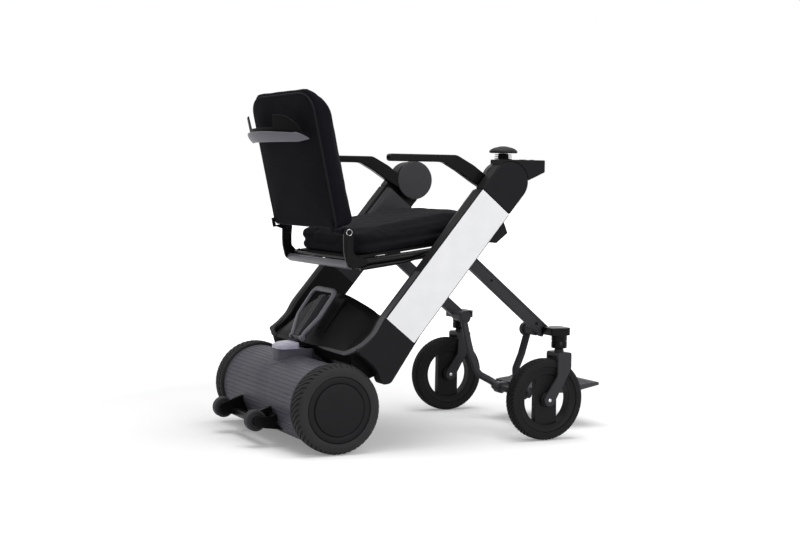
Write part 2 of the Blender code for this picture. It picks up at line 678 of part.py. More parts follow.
def make_seat_cushion(low):
    """A crowned cushion: rows across the seat, drawn in at the sides, full at the front edge."""
    across, along = 14, 18
    bm = bmesh.new()
    length = SEAT_FRONT_F - SEAT_BACK_F
    top_rows, low_rows = [], []
    for i in range(along + 1):
        t = i / along
        f = SEAT_BACK_F + length * t
        edge_t = min(1.0, min(t, 1 - t) * 7)
        lift = (1 - (1 - edge_t) ** 2.4)
        thick = SEAT_THICK_REAR + (SEAT_THICK_FRONT - SEAT_THICK_REAR) * t
        corner = 0.048
        from_end = min(t, 1 - t) * length
        fall = 0.020 * max(0.0, (t - 0.72) / 0.28) ** 2
        inset = corner - (corner ** 2 - max(0.0, corner - from_end) ** 2) ** 0.5
        top_row, low_row = [], []
        for k in range(across + 1):
            w = -1 + 2 * k / across
            x = w * (SEAT_HALF - inset - 0.001)
            side_t = min(1.0, (1 - abs(w)) * 4.0)
            crown = (0.62 + 0.38 * (1 - (1 - side_t) ** 2.2)) * (0.55 + 0.45 * lift)
            top_row.append(bm.verts.new((x, *on_seat(f, low + thick * crown + 0.004 * (1 - w * w) * lift - fall))))
            draw = 1 - 0.035 * (1 - abs(w) ** 8)
            low_row.append(bm.verts.new((x * (0.955 if abs(w) == 1 else draw), *on_seat(f, low))))
        top_rows.append(top_row)
        low_rows.append(low_row)
    for rows, flip in ((top_rows, False), (low_rows, True)):
        for first, second in zip(rows, rows[1:]):
            for k in range(across):
                quad = (first[k], first[k + 1], second[k + 1], second[k])
                bm.faces.new(reversed(quad) if flip else quad)
    for k in range(across):
        for top, base in ((top_rows[0], low_rows[0]), (top_rows[-1], low_rows[-1])):
            bm.faces.new((top[k], top[k + 1], base[k + 1], base[k]))
    for i in range(along):
        for k in (0, across):
            bm.faces.new((top_rows[i][k], top_rows[i + 1][k], low_rows[i + 1][k], low_rows[i][k]))
    add("seat_cushion", bm, "fabric", sharp=50)


def back_outline(half, low, high, corner_low, steps=8):
    """Front view of the back: (x, a) with wide, low upper corners and small lower ones."""
    points = []
    for sign, start in ((1, 0), (-1, 90)):
        for x, a in arc((0, 0), 1.0, start, start + 90, steps):
            points.append((sign * (half - CORNER_WIDE) + x * CORNER_WIDE, high - CORNER_HIGH + a * CORNER_HIGH))
    for sign, start in ((-1, 180), (1, 270)):
        points += arc((sign * (half - corner_low), low + corner_low), corner_low, start, start + 90, 3)
    return points


def make_back():
    body_empty("back_axis", (0, *BACK_PIVOT))
    panel_front = BACK_REAR_B - PANEL_T
    outline = back_outline(BACK_HALF - 0.003, BACK_LOW + 0.003, BACK_HIGH - 0.008, 0.012)
    sections = [[(x, *on_back(a, b)) for x, a in outline] for b in (panel_front, BACK_REAR_B)]
    panel = add("back_panel", lofted(sections), "fabric", "back_axis")
    for side in (RIGHT, LEFT):
        ear = arc(BACK_PIVOT, 0.0100, 160, 320, 8)
        ear += [on_back(0.0080, panel_front), on_back(0.0080, BACK_REAR_B - 0.001), on_back(0.0300, BACK_REAR_B - 0.001),
                on_back(0.0300, panel_front + 0.001), on_back(0.0110, panel_front + 0.001), on_back(0.0100, 0.0060)]
        join(panel, side_prism(ear, side, EAR_IN, EAR_IN + EAR_T))
    for side in (RIGHT, LEFT):
        cut(panel, disc((0, *BACK_PIVOT), 0.0055 + RUN,
                        *sorted((side * (EAR_IN - 0.004), side * (EAR_IN + 0.02))), count=20))
    make_back_cushion(panel_front - TOUCH)
    make_push_handle()


def make_back_cushion(rear_b):
    """A crowned pad on the front of the back, rounded over its top edge."""
    across, up = 14, 16
    bm = bmesh.new()
    high, low = BACK_HIGH, BACK_LOW
    front, rear = [], []
    for i in range(up + 1):
        t = i / up
        a = low + (high - low) * t
        from_top = max(0.0, (a - high + CORNER_HIGH) / CORNER_HIGH)
        from_low = max(0.0, (low + 0.012 - a) / 0.012)
        inset = CORNER_WIDE * (1 - (1 - from_top ** 2) ** 0.5) + 0.012 * (1 - (1 - from_low ** 2) ** 0.5)
        lean_back = 0.042 * max(0.0, (t - 0.55) / 0.45) ** 2.2
        row_f, row_r = [], []
        for k in range(across + 1):
            w = -1 + 2 * k / across
            x = w * (BACK_HALF - inset * 0.92)
            full = 1 - (1 - min(1.0, (1 - abs(w)) * 4.5)) ** 2.2
            end = 1 - (1 - min(1.0, min(t * 9, (1 - t) * 9))) ** 2
            depth = (rear_b - BACK_FRONT_B) * (0.97 + 0.03 * full) * (0.86 + 0.14 * end)
            b = min(max(rear_b - depth + lean_back, BACK_FRONT_B), rear_b - 0.010)
            row_f.append(bm.verts.new((x, *on_back(a, b))))
            row_r.append(bm.verts.new((x * 0.985, *on_back(a if t < 1 else a - 0.004, rear_b))))
        front.append(row_f)
        rear.append(row_r)
    for rows, flip in ((front, False), (rear, True)):
        for first, second in zip(rows, rows[1:]):
            for k in range(across):
                quad = (first[k], first[k + 1], second[k + 1], second[k])
                bm.faces.new(reversed(quad) if flip else quad)
    for k in range(across):
        for one, two in ((front[0], rear[0]), (front[-1], rear[-1])):
            bm.faces.new((one[k], one[k + 1], two[k + 1], two[k]))
    for i in range(up):
        for k in (0, across):
            bm.faces.new((front[i][k], front[i + 1][k], rear[i + 1][k], rear[i][k]))
    add("back_cushion", bm, "fabric", "back_axis", sharp=50)


def handle_shape(x):
    """The push handle at x: how far it bows out behind the back, and its lower and upper edge."""
    bow = HANDLE_BOW * (1 - (x / HANDLE_SPAN) ** 2)
    rise = min(1.0, max(0.0, (abs(x) - 0.0560) / 0.0140)) * min(1.0, max(0.0, (0.1600 - abs(x)) / 0.0450))
    tip = max(0.0, (abs(x) - 0.1000) / (HANDLE_SPAN - 0.1000)) ** 1.5
    return bow, HANDLE_LOW + 0.0130 * tip, HANDLE_RIM - 0.0080 * tip + (HANDLE_WING - HANDLE_RIM) * rise ** 0.6


def make_push_handle():
    """A bowed grip that stands off the rear of the back, with two upright wings."""
    start = BACK_REAR_B + TOUCH
    thick = 0.0060
    sections = []
    for x in (-0.1860, -0.1740, -0.1600, -0.1450, -0.1300, -0.1150, -0.0950, -0.0700, -0.0630, -0.0560,
              -0.0250, 0.0250, 0.0560, 0.0630, 0.0700, 0.0950, 0.1150, 0.1300, 0.1450, 0.1600, 0.1740, 0.1860):
        bow, low, rim = handle_shape(x)
        inner = start + bow
        shape = ((low, inner), (low, inner + thick), (HANDLE_LOW + 0.0160, inner + thick + 0.003),
                 (HANDLE_RIM - 0.0090, inner + thick), (rim, inner + 0.003), (rim, inner))
        sections.append([(x, *on_back(a, b)) for a, b in shape])
    add("push_handle", lofted(sections), "grip", "back_axis")


def make_back_brackets():
    """Straps that curve up from the seat frame's rear corners and carry the back's pivots."""
    for side, word in SIDES:
        strap = arc(BACK_PIVOT, 0.0130, -20, 190, 8)
        strap += [(-0.0660, 0.4600), (-0.0690, 0.4380), (-0.0800, 0.4280), (-0.1000, 0.4270), (-0.1010, 0.4080)]
        strap += [(-0.0800, 0.3990), (-0.0610, 0.3990), (-0.0500, 0.4070), (-0.0430, 0.4210), (-0.0395, 0.4370),
                  (-0.0400, 0.4500)]
        bracket = add(f"back_bracket_{word}", side_prism(strap, side, BRACKET_IN, BRACKET_IN + BRACKET_T), "frame",
                      bevel=0.0010)
        join(bracket, disc((0, *BACK_PIVOT), 0.0055,
                           *sorted((side * (EAR_IN - 0.0010), side * (BRACKET_IN + 0.002))), count=20))
        join(bracket, disc((0, *BACK_PIVOT), 0.0090,
                           *sorted((side * (BRACKET_IN + BRACKET_T - 0.001), side * (BRACKET_IN + BRACKET_T + 0.003))),
                           count=20))


# Front legs, casters and footrest

def leg_axis():
    """The leg's direction in the side view, from the fold pivot to its lower end."""
    dy, dz = LEG_END[0] - FOLD_PIVOT[0], LEG_END[1] - FOLD_PIVOT[1]
    length = hypot(dy, dz)
    return dy / length, dz / length, length


def make_leg(side, word):
    dy, dz, length = leg_axis()
    half = LEG_W / 2
    heading = degrees(atan2(dz, dy))
    outline = arc(FOLD_PIVOT, half, heading + 90, heading + 270, 10)
    outline += [(LEG_END[0] + dz * half + dy * 0.004, LEG_END[1] - dy * half + dz * 0.004),
                (LEG_END[0] - dz * half + dy * 0.004, LEG_END[1] + dy * half + dz * 0.004)]
    leg = add(f"leg_{word}", side_prism(order_outline(outline), side, LEG_IN, LEG_OUT), "frame", "fold_axis",
              bevel=0.0015)
    join(leg, disc((0, *FOOT_PIVOT), 0.0120, *sorted((side * (FOOT_PIVOT_X - 0.008), side * (LEG_IN + 0.004))), count=20))
    cut(leg, disc((0, *FOLD_PIVOT), PIVOT_R + RUN, *sorted((side * 0.18, side * 0.24)), count=24))


def order_outline(points):
    """The outline's points sorted round their middle, for convex outlines only."""
    cy = sum(p[0] for p in points) / len(points)
    cz = sum(p[1] for p in points) / len(points)
    return sorted(points, key=lambda p: atan2(p[1] - cz, p[0] - cy))


def make_caster(side, word):
    stem = (side * CASTER_X, STEM_Y, 0)
    axle = (side * CASTER_X, STEM_Y + TRAIL, CASTER_R)
    # The mount: a bar beside the leg's lower end, with a round end over the stem's housing.
    reach = 0.0210
    lug = LEG_OUT + TOUCH + 0.0002
    past = LEG_END[0] - 0.0140
    plan = [(CASTER_X + reach, MOUNT_REAR), (lug, MOUNT_REAR), (lug, past), (MOUNT_IN, past)]
    plan += arc((MOUNT_IN + 0.0080, STEM_Y - 0.0140), 0.0080, 180, 270, 4)
    plan += arc((CASTER_X + reach - 0.0140, STEM_Y - 0.0080), 0.0140, 270, 360, 5)
    plan = [(side * x, y) for x, y in plan]
    mount = add(f"caster_mount_{word}", prism(plan, MOUNT_LOW, MOUNT_TOP, "Z"), "frame", "fold_axis",
                bevel=0.0020)
    housing_low = CROWN_TOP + 0.0083
    join(mount, disc(stem, HOUSING_R, housing_low, MOUNT_LOW + 0.004, "Z", 28))
    cut(mount, disc(stem, STEM_R + RUN, housing_low - 0.01, MOUNT_TOP - 0.0040, "Z", 24))

    fork_body = f"caster_fork_{word}_axis"
    body_empty(fork_body, (stem[0], stem[1], CROWN_TOP), "fold_axis")
    leg_in = CASTER_W / 2 + FORK_GAP
    top, low = CROWN_TOP, CROWN_TOP - 0.0105
    front, back = STEM_Y - 0.0185, STEM_Y + 0.0175
    side_view = [(front, top), (front, 0.1660)] + arc((axle[1], axle[2]), 0.0140, 215, 395, 9) + \
        [(back, 0.1480), (back, top)]
    fork = add(f"caster_fork_{word}", side_prism(side_view, side, CASTER_X + leg_in, CASTER_X + leg_in + FORK_T),
               "frame", fork_body, bevel=0.0012)
    join(fork, side_prism(side_view, side, CASTER_X - leg_in - FORK_T, CASTER_X - leg_in))
    crown = [(front, low), (front, top), (back, top), (back, low)]
    join(fork, side_prism(crown, side, CASTER_X - leg_in - 0.003, CASTER_X + leg_in + 0.003))
    join(fork, disc(stem, 0.0100, CROWN_TOP - 0.002, CROWN_TOP + 0.0080, "Z", 24))
    join(fork, disc(stem, STEM_R, CROWN_TOP + 0.006, MOUNT_TOP - 0.0060, "Z", 24))
    cut(fork, disc((0, axle[1], axle[2]), 0.0050 + RUN, *sorted((side * 0.2, side * 0.3)), count=20))

    wheel_body = f"caster_wheel_{word}_axis"
    body_empty(wheel_body, axle, fork_body)
    half = CASTER_W / 2
    bead = CASTER_RIM_R + RUN
    tyre = [(-half, bead), (-half, 0.0850), (-half + 0.004, 0.0920), (-half + 0.010, CASTER_R),
            (half - 0.010, CASTER_R), (half - 0.004, 0.0920), (half, 0.0850), (half, bead)]
    add(f"caster_tyre_{word}", tread_ring(tyre, CASTER_R, axle, 32), "tyre", wheel_body)
    rim = [(-0.0165, WINDOW_R), (-0.0165, CASTER_RIM_R), (0.0165, CASTER_RIM_R), (0.0165, WINDOW_R)]
    wheel = add(f"caster_wheel_{word}", turned(rim, axle, count=28), "wheel", wheel_body)
    web = (Vector(axle) - Vector((0.0060, WEB_HALF, WINDOW_R + 0.005)),
           Vector(axle) + Vector((0.0060, WEB_HALF, WINDOW_R + 0.005)))
    join(wheel, rounded_box(web[0], web[1], 0.0010, "X", 1))
    join(wheel, disc(axle, 0.0170, -half + 0.0008, half - 0.0008, count=24))
    cut(wheel, disc(axle, 0.0050 + RUN, -0.03, 0.03, count=20))
    end = half + FORK_GAP + FORK_T
    bolt = [(-end + 0.0005, 0), (-end + 0.0005, 0.0050), (end - 0.0005, 0.0050), (end - 0.0005, 0)]
    add(f"caster_axle_{word}", turned(bolt, axle, count=20), "steel", fork_body)


def make_footrest():
    """Two oval tubes that hang from the legs and meet in a cross bar under the feet."""
    frame = None
    bar_y, bar_z = FOOT_BAR
    for side in (LEFT, RIGHT):
        path = bent_path([(side * FOOT_PIVOT_X, FOOT_PIVOT[0] - 0.001, FOOT_PIVOT[1] - 0.0150),
                          (side * 0.1350, -0.5350, 0.1880), (side * 0.1120, -0.5340, 0.1520),
                          (side * 0.0990, -0.5460, 0.1130), (side * 0.0880, bar_y, bar_z)], 0.030, 3)
        if frame is None:
            frame = add("footrest_frame", swept(path, 0.0065, 0.0090, 8, (0, 1, 0)), "frame", "fold_axis")
        else:
            join(frame, swept(path, 0.0065, 0.0090, 8, (0, 1, 0)))
        eye = turned([(-0.006, 0.0120 + TOUCH), (-0.006, 0.0165), (0.006, 0.0165), (0.006, 0.0120 + TOUCH)],
                     (side * (FOOT_PIVOT_X - 0.001), *FOOT_PIVOT), count=24)
        join(frame, eye)
    join(frame, disc((0, *FOOT_BAR), FOOT_BAR_R, -0.0920, 0.0920, count=24))

    body_empty("footplate_axis", (0, *FOOT_BAR), "fold_axis")
    side_view = [(PLATE_REAR, 0.0905), (PLATE_REAR, 0.0960), (PLATE_FRONT + 0.004, 0.1100), (PLATE_FRONT, 0.1080),
                 (PLATE_FRONT, 0.1020), (-0.7130, 0.0930), (-0.6300, 0.0870)]
    plate = add("footplate", prism(side_view, -PLATE_WIDE, PLATE_WIDE), "frame", "footplate_axis")
    for side in (RIGHT, LEFT):
        notch = [(side * (PLATE_WIDE + 0.01), PLATE_REAR + 0.01), (side * PLATE_NARROW, PLATE_REAR + 0.01),
                 (side * PLATE_NARROW, -0.6500), (side * (PLATE_WIDE + 0.0001), -0.6800),
                 (side * (PLATE_WIDE + 0.01), -0.6800)]
        cut(plate, prism(notch, 0.05, 0.15, "Z"))
        eye = arc(FOOT_BAR, 0.0140, 100, -100, 9) + [(-0.6250, 0.0885), (-0.6250, 0.0940)]
        join(plate, side_prism(eye, side, 0.0470, 0.0690))
    cut(plate, disc((0, *FOOT_BAR), FOOT_BAR_R + RUN, -0.09, 0.09, count=24))


def make_fold_lever():
    edge = -ARM_HALF - FREE
    pivot = on_arm(0.1335, edge)
    body_empty("fold_lever_axis", (-0.2470, *pivot))
    side_view = [on_arm(0.0760, edge), on_arm(0.0789, -0.0560), on_arm(0.0894, -0.0755), on_arm(0.1256, -0.0677),
                 on_arm(0.1323, -0.0564), pivot]
    add("fold_lever", side_prism(side_view, RIGHT, 0.2300, 0.2640), "shell", "fold_lever_axis",
        bevel=0.0012)


# Controls

def make_controls():
    saddle = ARM_HALF + RUN
    tail = degrees(acos((BOX_REAR - ARM_TOP[0]) / saddle))
    side_view = [(BOX_REAR, BOX_TOP), (BOX_FRONT, BOX_TOP), (BOX_FRONT, 0.6250), (-0.4820, 0.6140),
                 (ARM_TOP[0] - saddle, 0.6060)]
    side_view += arc(ARM_TOP, saddle, 174, tail, 14)
    box = add("control_box", side_prism(side_view, RIGHT, 0.2245, ARM_OUT - 0.0010), "shell",
              bevel=0.0012)
    well = disc((STICK_X, STICK_Y, 0), 0.0150, BOX_TOP - 0.0025, BOX_TOP + 0.02, "Z", 24)
    cut(box, well)
    cut(box, disc((BUTTON_X, BUTTON_Y, 0), BUTTON_R + TOUCH, BOX_TOP - 0.0045, BOX_TOP + 0.01, "Z", 20))
    cut(box, disc((BUTTON_X, DIAL_Y, 0), DIAL_R + TOUCH, BOX_TOP - 0.0045, BOX_TOP + 0.01, "Z", 24))

    body_empty("power_button_axis", (BUTTON_X, BUTTON_Y, BOX_TOP))
    add("power_button", disc((BUTTON_X, BUTTON_Y, BOX_TOP), BUTTON_R, -0.0030, 0.0010, "Z", 20), "trim",
        "power_button_axis")
    body_empty("speed_dial_axis", (BUTTON_X, DIAL_Y, BOX_TOP))
    add("speed_dial", disc((BUTTON_X, DIAL_Y, BOX_TOP), DIAL_R, -0.0042, 0.0012, "Z", 24), "trim",
        "speed_dial_axis")

    centre = (STICK_X, STICK_Y, STICK_Z)
    body_empty("joystick_gimbal_axis", centre)
    ring = [(-0.0012, 0.0068), (-0.0012, 0.0100), (0.0012, 0.0100), (0.0012, 0.0068)]
    add("joystick_gimbal", turned(ring, centre, "Z", 24), "steel", "joystick_gimbal_axis")
    body_empty("joystick_axis", centre, "joystick_gimbal_axis")
    stem = [(0.0, 0), (0.0, 0.0036), (0.0160, 0.0042), (0.0160, 0)]
    add("joystick_stem", turned(stem, centre, "Z", 20), "steel", "joystick_axis")
    knob = [(0.0125, 0.0046), (0.0125, KNOB_R - 0.0035), (0.0145, KNOB_R), (0.0175, KNOB_R - 0.0008),
            (0.0230, KNOB_R - 0.0085), (0.0268, KNOB_R - 0.0195), (0.0285, 0.0), (0.0164, 0.0), (0.0164, 0.0046)]
    add("joystick_knob", knob_mesh(knob, centre), "rubber", "joystick_axis")
    boot = []
    folds = 3
    for i in range(folds * 2 + 1):
        share = i / (folds * 2)
        boot.append((0.0125 * share - 0.0015 * (1 - share),
                     (0.0210 if i % 2 == 0 else 0.0165) - 0.0050 * share))
    inner = [(z, r - 0.0012) for z, r in reversed(boot)]
    lift = 0.0004
    boot_z = BOX_TOP - STICK_Z + 0.0015 + TOUCH + lift
    squeeze = (0.0125 - TOUCH - boot_z) / 0.0140
    ring = [(boot_z + (z + 0.0015) * squeeze, r) for z, r in boot + inner]
    add("joystick_boot", turned(ring, centre, "Z", 16), "rubber")


def knob_mesh(profile, place):
    """The knob's outline turned about Z, with a blind hole for the stem under it."""
    count = 24
    base = Vector(place)
    bm = bmesh.new()
    rings = []
    for z, r in profile:
        if r == 0:
            rings.append([bm.verts.new(base + Vector((0, 0, z)))])
        else:
            rings.append([bm.verts.new(base + Vector((r * cos(2 * pi * i / count), r * sin(2 * pi * i / count), z)))
                          for i in range(count)])
    order = rings[:7], rings[7:] + rings[:1]
    for chain in order:
        for first, second in zip(chain, chain[1:]):
            for i in range(count):
                j = (i + 1) % count
                corners = [first[i % len(first)], first[j % len(first)],
                           second[j % len(second)], second[i % len(second)]]
                unique = list(dict.fromkeys(corners))
                if len(unique) > 2:
                    bm.faces.new(unique)
    return bm


def build():
    global CHAIR
    clear_scene()
    MATERIALS.update(make_materials())
    CHAIR = bpy.data.objects.new("chair", None)
    bpy.context.scene.collection.objects.link(CHAIR)
    CHAIR.location = (0, AXLE_Y, 0)
    body_empty("fold_axis", (0, *FOLD_PIVOT))
    make_housing()
    make_battery()
    make_drive()
    make_anti_tip()
    make_seat()
    make_back()
    make_back_brackets()
    for side, word in SIDES:
        make_arm(side, word)
        make_armrest(side, word)
        make_rear_wheel(side, word)
        make_leg(side, word)
        make_caster(side, word)
    make_footrest()
    make_fold_lever()
    make_controls()


build()
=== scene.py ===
# %% [markdown]
# # A folding power chair, from fixed frame to finished looks
#
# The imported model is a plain, exact frame of the chair: every piece in its place, every joint
# working, and no finish at all. This notebook dresses it, one piece or one finish at a time.

# %% Load the frame
from math import atan2, cos, degrees, exp, hypot, pi, radians, sin, tan

import bmesh
import bpy
from mathutils import Matrix, Vector


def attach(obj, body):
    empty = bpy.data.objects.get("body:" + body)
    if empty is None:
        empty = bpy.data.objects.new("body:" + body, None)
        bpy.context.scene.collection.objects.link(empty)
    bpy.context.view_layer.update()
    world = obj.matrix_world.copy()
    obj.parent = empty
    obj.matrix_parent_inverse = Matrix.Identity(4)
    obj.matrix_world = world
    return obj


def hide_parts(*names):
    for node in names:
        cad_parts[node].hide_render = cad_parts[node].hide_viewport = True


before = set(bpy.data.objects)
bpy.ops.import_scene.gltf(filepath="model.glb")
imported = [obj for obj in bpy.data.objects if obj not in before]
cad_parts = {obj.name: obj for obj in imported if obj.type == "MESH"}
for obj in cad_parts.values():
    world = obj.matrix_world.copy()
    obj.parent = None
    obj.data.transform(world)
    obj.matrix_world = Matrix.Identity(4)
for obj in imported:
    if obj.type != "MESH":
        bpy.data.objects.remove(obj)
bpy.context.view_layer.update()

# %% [markdown]
# ## Camera
# The photograph was taken from the chair's right rear, a little above the wheels, with a long
# lens. The camera is placed from three numbers (heading, pitch, roll) and a point, because they
# can be measured one by one against the wheels and the arms.

# %% Camera
AXLE_Y = 0.3037         # the rear axle, in the frame's coordinates
HEADING = radians(25.6197)
PITCH = radians(3.3252)
ROLL = radians(0.853)
EYE = Vector((-3.3194, 1.3191 + AXLE_Y, 0.6073))
LENS_MM = 1533.44 / 800 * 36


def place_camera():
    look = Vector((cos(HEADING) * cos(PITCH), -sin(HEADING) * cos(PITCH), -sin(PITCH)))
    right = Vector((-sin(HEADING), -cos(HEADING), 0.0))
    up = right.cross(look)
    rolled_right = right * cos(ROLL) + up * sin(ROLL)
    rolled_up = up * cos(ROLL) - right * sin(ROLL)
    turn = Matrix((rolled_right, rolled_up, -look)).transposed()
    data = bpy.data.cameras.new("studio_camera")
    data.lens = LENS_MM
    data.sensor_width = 36
    data.sensor_fit = "HORIZONTAL"
    data.clip_end = 50
    camera = bpy.data.objects.new("studio_camera", data)
    camera.matrix_world = Matrix.Translation(EYE) @ turn.to_4x4()
    bpy.context.scene.collection.objects.link(camera)
    bpy.context.scene.camera = camera
    return camera


camera = place_camera()
print("camera at", [round(v, 3) for v in camera.location], "lens", round(LENS_MM, 1))

# %% [markdown]
# ## Writing a material as sums
# A node tree is quicker to read as arithmetic. `Wire` wraps one output socket and answers to
# Python's operators, so `1 - mask` adds one Math node. Colours are mixed with a Mix node, since a
# Math node would turn them grey. Everything else comes from `Finish.node`.

# %% Wires and finishes


class Wire:
    """An output socket that takes arithmetic: each operator adds one Math node."""

    def __init__(self, finish, socket):
        self.finish = finish
        self.socket = socket

    def math(self, operation, first, second=None):
        values = {0: first} if second is None else {0: first, 1: second}
        return self.finish.node("ShaderNodeMath", {"operation": operation}, values)

    def __add__(self, other):
        return self.math("ADD", self, other)

    def __radd__(self, other):
        return self.math("ADD", other, self)

    def __sub__(self, other):
        return self.math("SUBTRACT", self, other)

    def __rsub__(self, other):
        return self.math("SUBTRACT", other, self)

    def __mul__(self, other):
        return self.math("MULTIPLY", self, other)

    def __rmul__(self, other):
        return self.math("MULTIPLY", other, self)

    def __pow__(self, other):
        return self.math("POWER", self, other)

    def sine(self):
        return self.math("SINE", self)


class Finish:
    """A material whose Principled shader is fed by constants and wires, and the record's slot for it."""

    def __init__(self, slot, colour, roughness, metallic=0.0, **constants):
        self.slot = slot
        self.material = bpy.data.materials.new(f"{slot}_finish")
        self.material.use_nodes = True
        self.tree = self.material.node_tree
        self.shader = self.tree.nodes["Principled BSDF"]
        self.colour = (*colour, 1.0)
        self.set("Base Color", self.colour)
        self.set("Roughness", roughness)
        self.set("Metallic", metallic)
        for socket, value in constants.items():
            self.set(socket.replace("_", " ").title().replace("Ior", "IOR"), value)
        self.material.diffuse_color = self.colour

    def put(self, socket, value):
        if isinstance(value, Wire):
            self.tree.links.new(value.socket, socket)
        else:
            socket.default_value = value

    def set(self, name, value):
        self.put(self.shader.inputs[name], value)

    def node(self, kind, settings=None, sockets=None, out=0):
        made = self.tree.nodes.new(kind)
        for key, value in (settings or {}).items():
            setattr(made, key, value)
        for key, value in (sockets or {}).items():
            self.put(made.inputs[key], value)
        return Wire(self, made.outputs[out])

    def place(self):
        return self.node("ShaderNodeTexCoord", out=3)

    def axes(self):
        """The three coordinates of the point on the object, in metres, as wires."""
        split = self.tree.nodes.new("ShaderNodeSeparateXYZ")
        self.put(split.inputs[0], self.place())
        return [Wire(self, output) for output in split.outputs]

    def noise(self, scale, detail=2.0, roughness=0.5):
        return self.node("ShaderNodeTexNoise", None,
                         {"Vector": self.place(), "Scale": scale, "Detail": detail, "Roughness": roughness})

    def spread(self, value, low, high, to_low=0.0, to_high=1.0):
        """A wire's range moved to another one, and held at its ends."""
        return self.node("ShaderNodeMapRange", None, {0: value, 1: low, 2: high, 3: to_low, 4: to_high})

    def mix(self, factor, first, second):
        return self.node("ShaderNodeMix", {"data_type": "RGBA"}, {0: factor, 6: first, 7: second}, out=2)

    def bump(self, height, strength, distance, before=None):
        sockets = {"Strength": strength, "Distance": distance, "Height": height}
        if before:
            sockets["Normal"] = before
        return self.node("ShaderNodeBump", None, sockets)

    def tint(self, factor, amount):
        """The base colour made up to this much lighter or darker by a wire from 0 to 1."""
        low = tuple(v * (1 - amount) for v in self.colour[:3]) + (1.0,)
        high = tuple(v * (1 + amount) for v in self.colour[:3]) + (1.0,)
        self.set("Base Color", self.mix(factor, low, high))


def shade(value, blue=0.10):
    """A grey given by its linear value, a touch blue as the real plastics are."""
    return (value, value * (1 - blue * 0.2), value * (1 + blue))


print("a mid grey is written", [round(v, 3) for v in shade(0.2)])

# %% [markdown]
# ## Moulded plastics and paint
# The shell is satin black ABS: very fine spark-eroded grain, and a gloss that drifts a little from
# one area to the next. The grain is a bump from a small noise, and the drift is a large soft noise
# on the roughness. The same recipe with other numbers gives the pale panels, the grey drum, the
# light cap, the tyres' hubs and the grips, so one function makes them all.

# %% Plastics


def moulded(slot, colour, roughness, grain=1400.0, depth=0.00004, drift=0.06, **constants):
    """A moulded plastic: fine grain, drifting gloss, and slight clouding of its colour."""
    finish = Finish(slot, colour, roughness, **{"specular_ior_level": 0.16, **constants})
    cloud = finish.noise(9.0, 3.0)
    finish.set("Roughness", finish.spread(cloud, 0.3, 0.7, roughness - drift, roughness + drift))
    finish.tint(finish.noise(26.0, 4.0, 0.6), 0.07)
    finish.set("Normal", finish.bump(finish.noise(grain, 2.0), 0.35, depth))
    return finish


shell = moulded("satin_black_shell", shade(0.0105), 0.50, specular_ior_level=0.07)
body_shell = moulded("satin_black_shell", shade(0.0040), 0.50, specular_ior_level=0.05)
inlay = moulded("white_inlay", (0.80, 0.805, 0.82), 0.34, grain=900.0, depth=0.00002,
                specular_ior_level=0.4)
drum_grey = moulded("grey_drum", shade(0.068, 0.22), 0.48, specular_ior_level=0.18)
trim = moulded("light_grey_trim", shade(0.36, 0.22), 0.26, grain=2000.0, depth=0.00002, drift=0.04,
               specular_ior_level=0.5)
bail_grey = moulded("light_grey_trim", shade(0.155, 0.12), 0.38)
hub_plastic = moulded("black_wheel", shade(0.0085), 0.52, specular_ior_level=0.12)
# A paler copy of the shell: painted light for the arm's inner band and the armrest hub discs, which face
# rearwards into the light.
painted_lit_shell = moulded("satin_black_shell", shade(0.036), 0.42)
wing_grey = moulded("dark_grey_grip", shade(0.0056, 0.12), 0.55, grain=700.0, depth=0.00008,
                    specular_ior_level=0.03)
grip = moulded("dark_grey_grip", shade(0.165, 0.12), 0.50, grain=700.0, depth=0.00008)
knob_rubber = moulded("soft_rubber", shade(0.011), 0.56, grain=1000.0, depth=0.00006)
soft_rubber = moulded("soft_rubber", shade(0.006), 0.72, grain=900.0, depth=0.00006)
print("plastics:", shell.material.name, inlay.material.name, drum_grey.material.name)

# %% [markdown]
# ## Gloss paint and bare metal
# The tubes and legs are powder coated black: a clear, slightly orange-peeled skin over a dark
# base. A coat layer gives the second, sharper highlight, and a soft wide bump gives the peel. The
# bolts and pins are bright zinc: fully metallic, brushed by a noise that is stretched one way.

# %% Paint and metal


def painted(slot, colour, roughness, coat):
    finish = Finish(slot, colour, roughness, coat_weight=coat, coat_roughness=0.12, specular_ior_level=0.08)
    drift = finish.noise(14.0, 3.0)
    finish.set("Roughness", finish.spread(drift, 0.3, 0.7, roughness - 0.05, roughness + 0.07))
    finish.tint(finish.noise(30.0, 3.0), 0.08)
    finish.set("Normal", finish.bump(finish.noise(420.0, 2.0), 0.18, 0.00006))
    return finish


def bare_metal(slot, colour, roughness):
    finish = Finish(slot, colour, roughness, 1.0)
    x, y, z = finish.axes()
    stretched = finish.node("ShaderNodeCombineXYZ", None, {0: x * 40.0, 1: y * 900.0, 2: z * 900.0})
    streaks = finish.node("ShaderNodeTexNoise", None, {"Vector": stretched, "Scale": 1.0, "Detail": 3.0})
    finish.set("Roughness", finish.spread(streaks, 0.3, 0.7, roughness - 0.06, roughness + 0.10))
    finish.set("Normal", finish.bump(streaks, 0.15, 0.00003))
    return finish


gloss_black = painted("black_frame", shade(0.0030), 0.30, 0.04)
leg_paint = painted("black_frame", shade(0.036), 0.42, 0.03)
plate_paint = painted("black_frame", shade(0.055), 0.50, 0.1)
steel = bare_metal("bright_steel", (0.58, 0.58, 0.60), 0.26)
cast_metal = bare_metal("motor_metal", (0.30, 0.30, 0.32), 0.45)
print("paints and metals:", gloss_black.material.name, steel.material.name)

# %% [markdown]
# ## Tyre rubber
# Solid rubber tyres are matt and pick up a grey bloom. Two noises, one coarse for the bloom and one
# fine for the skin, drive colour, roughness and bump.

# %% Rubber


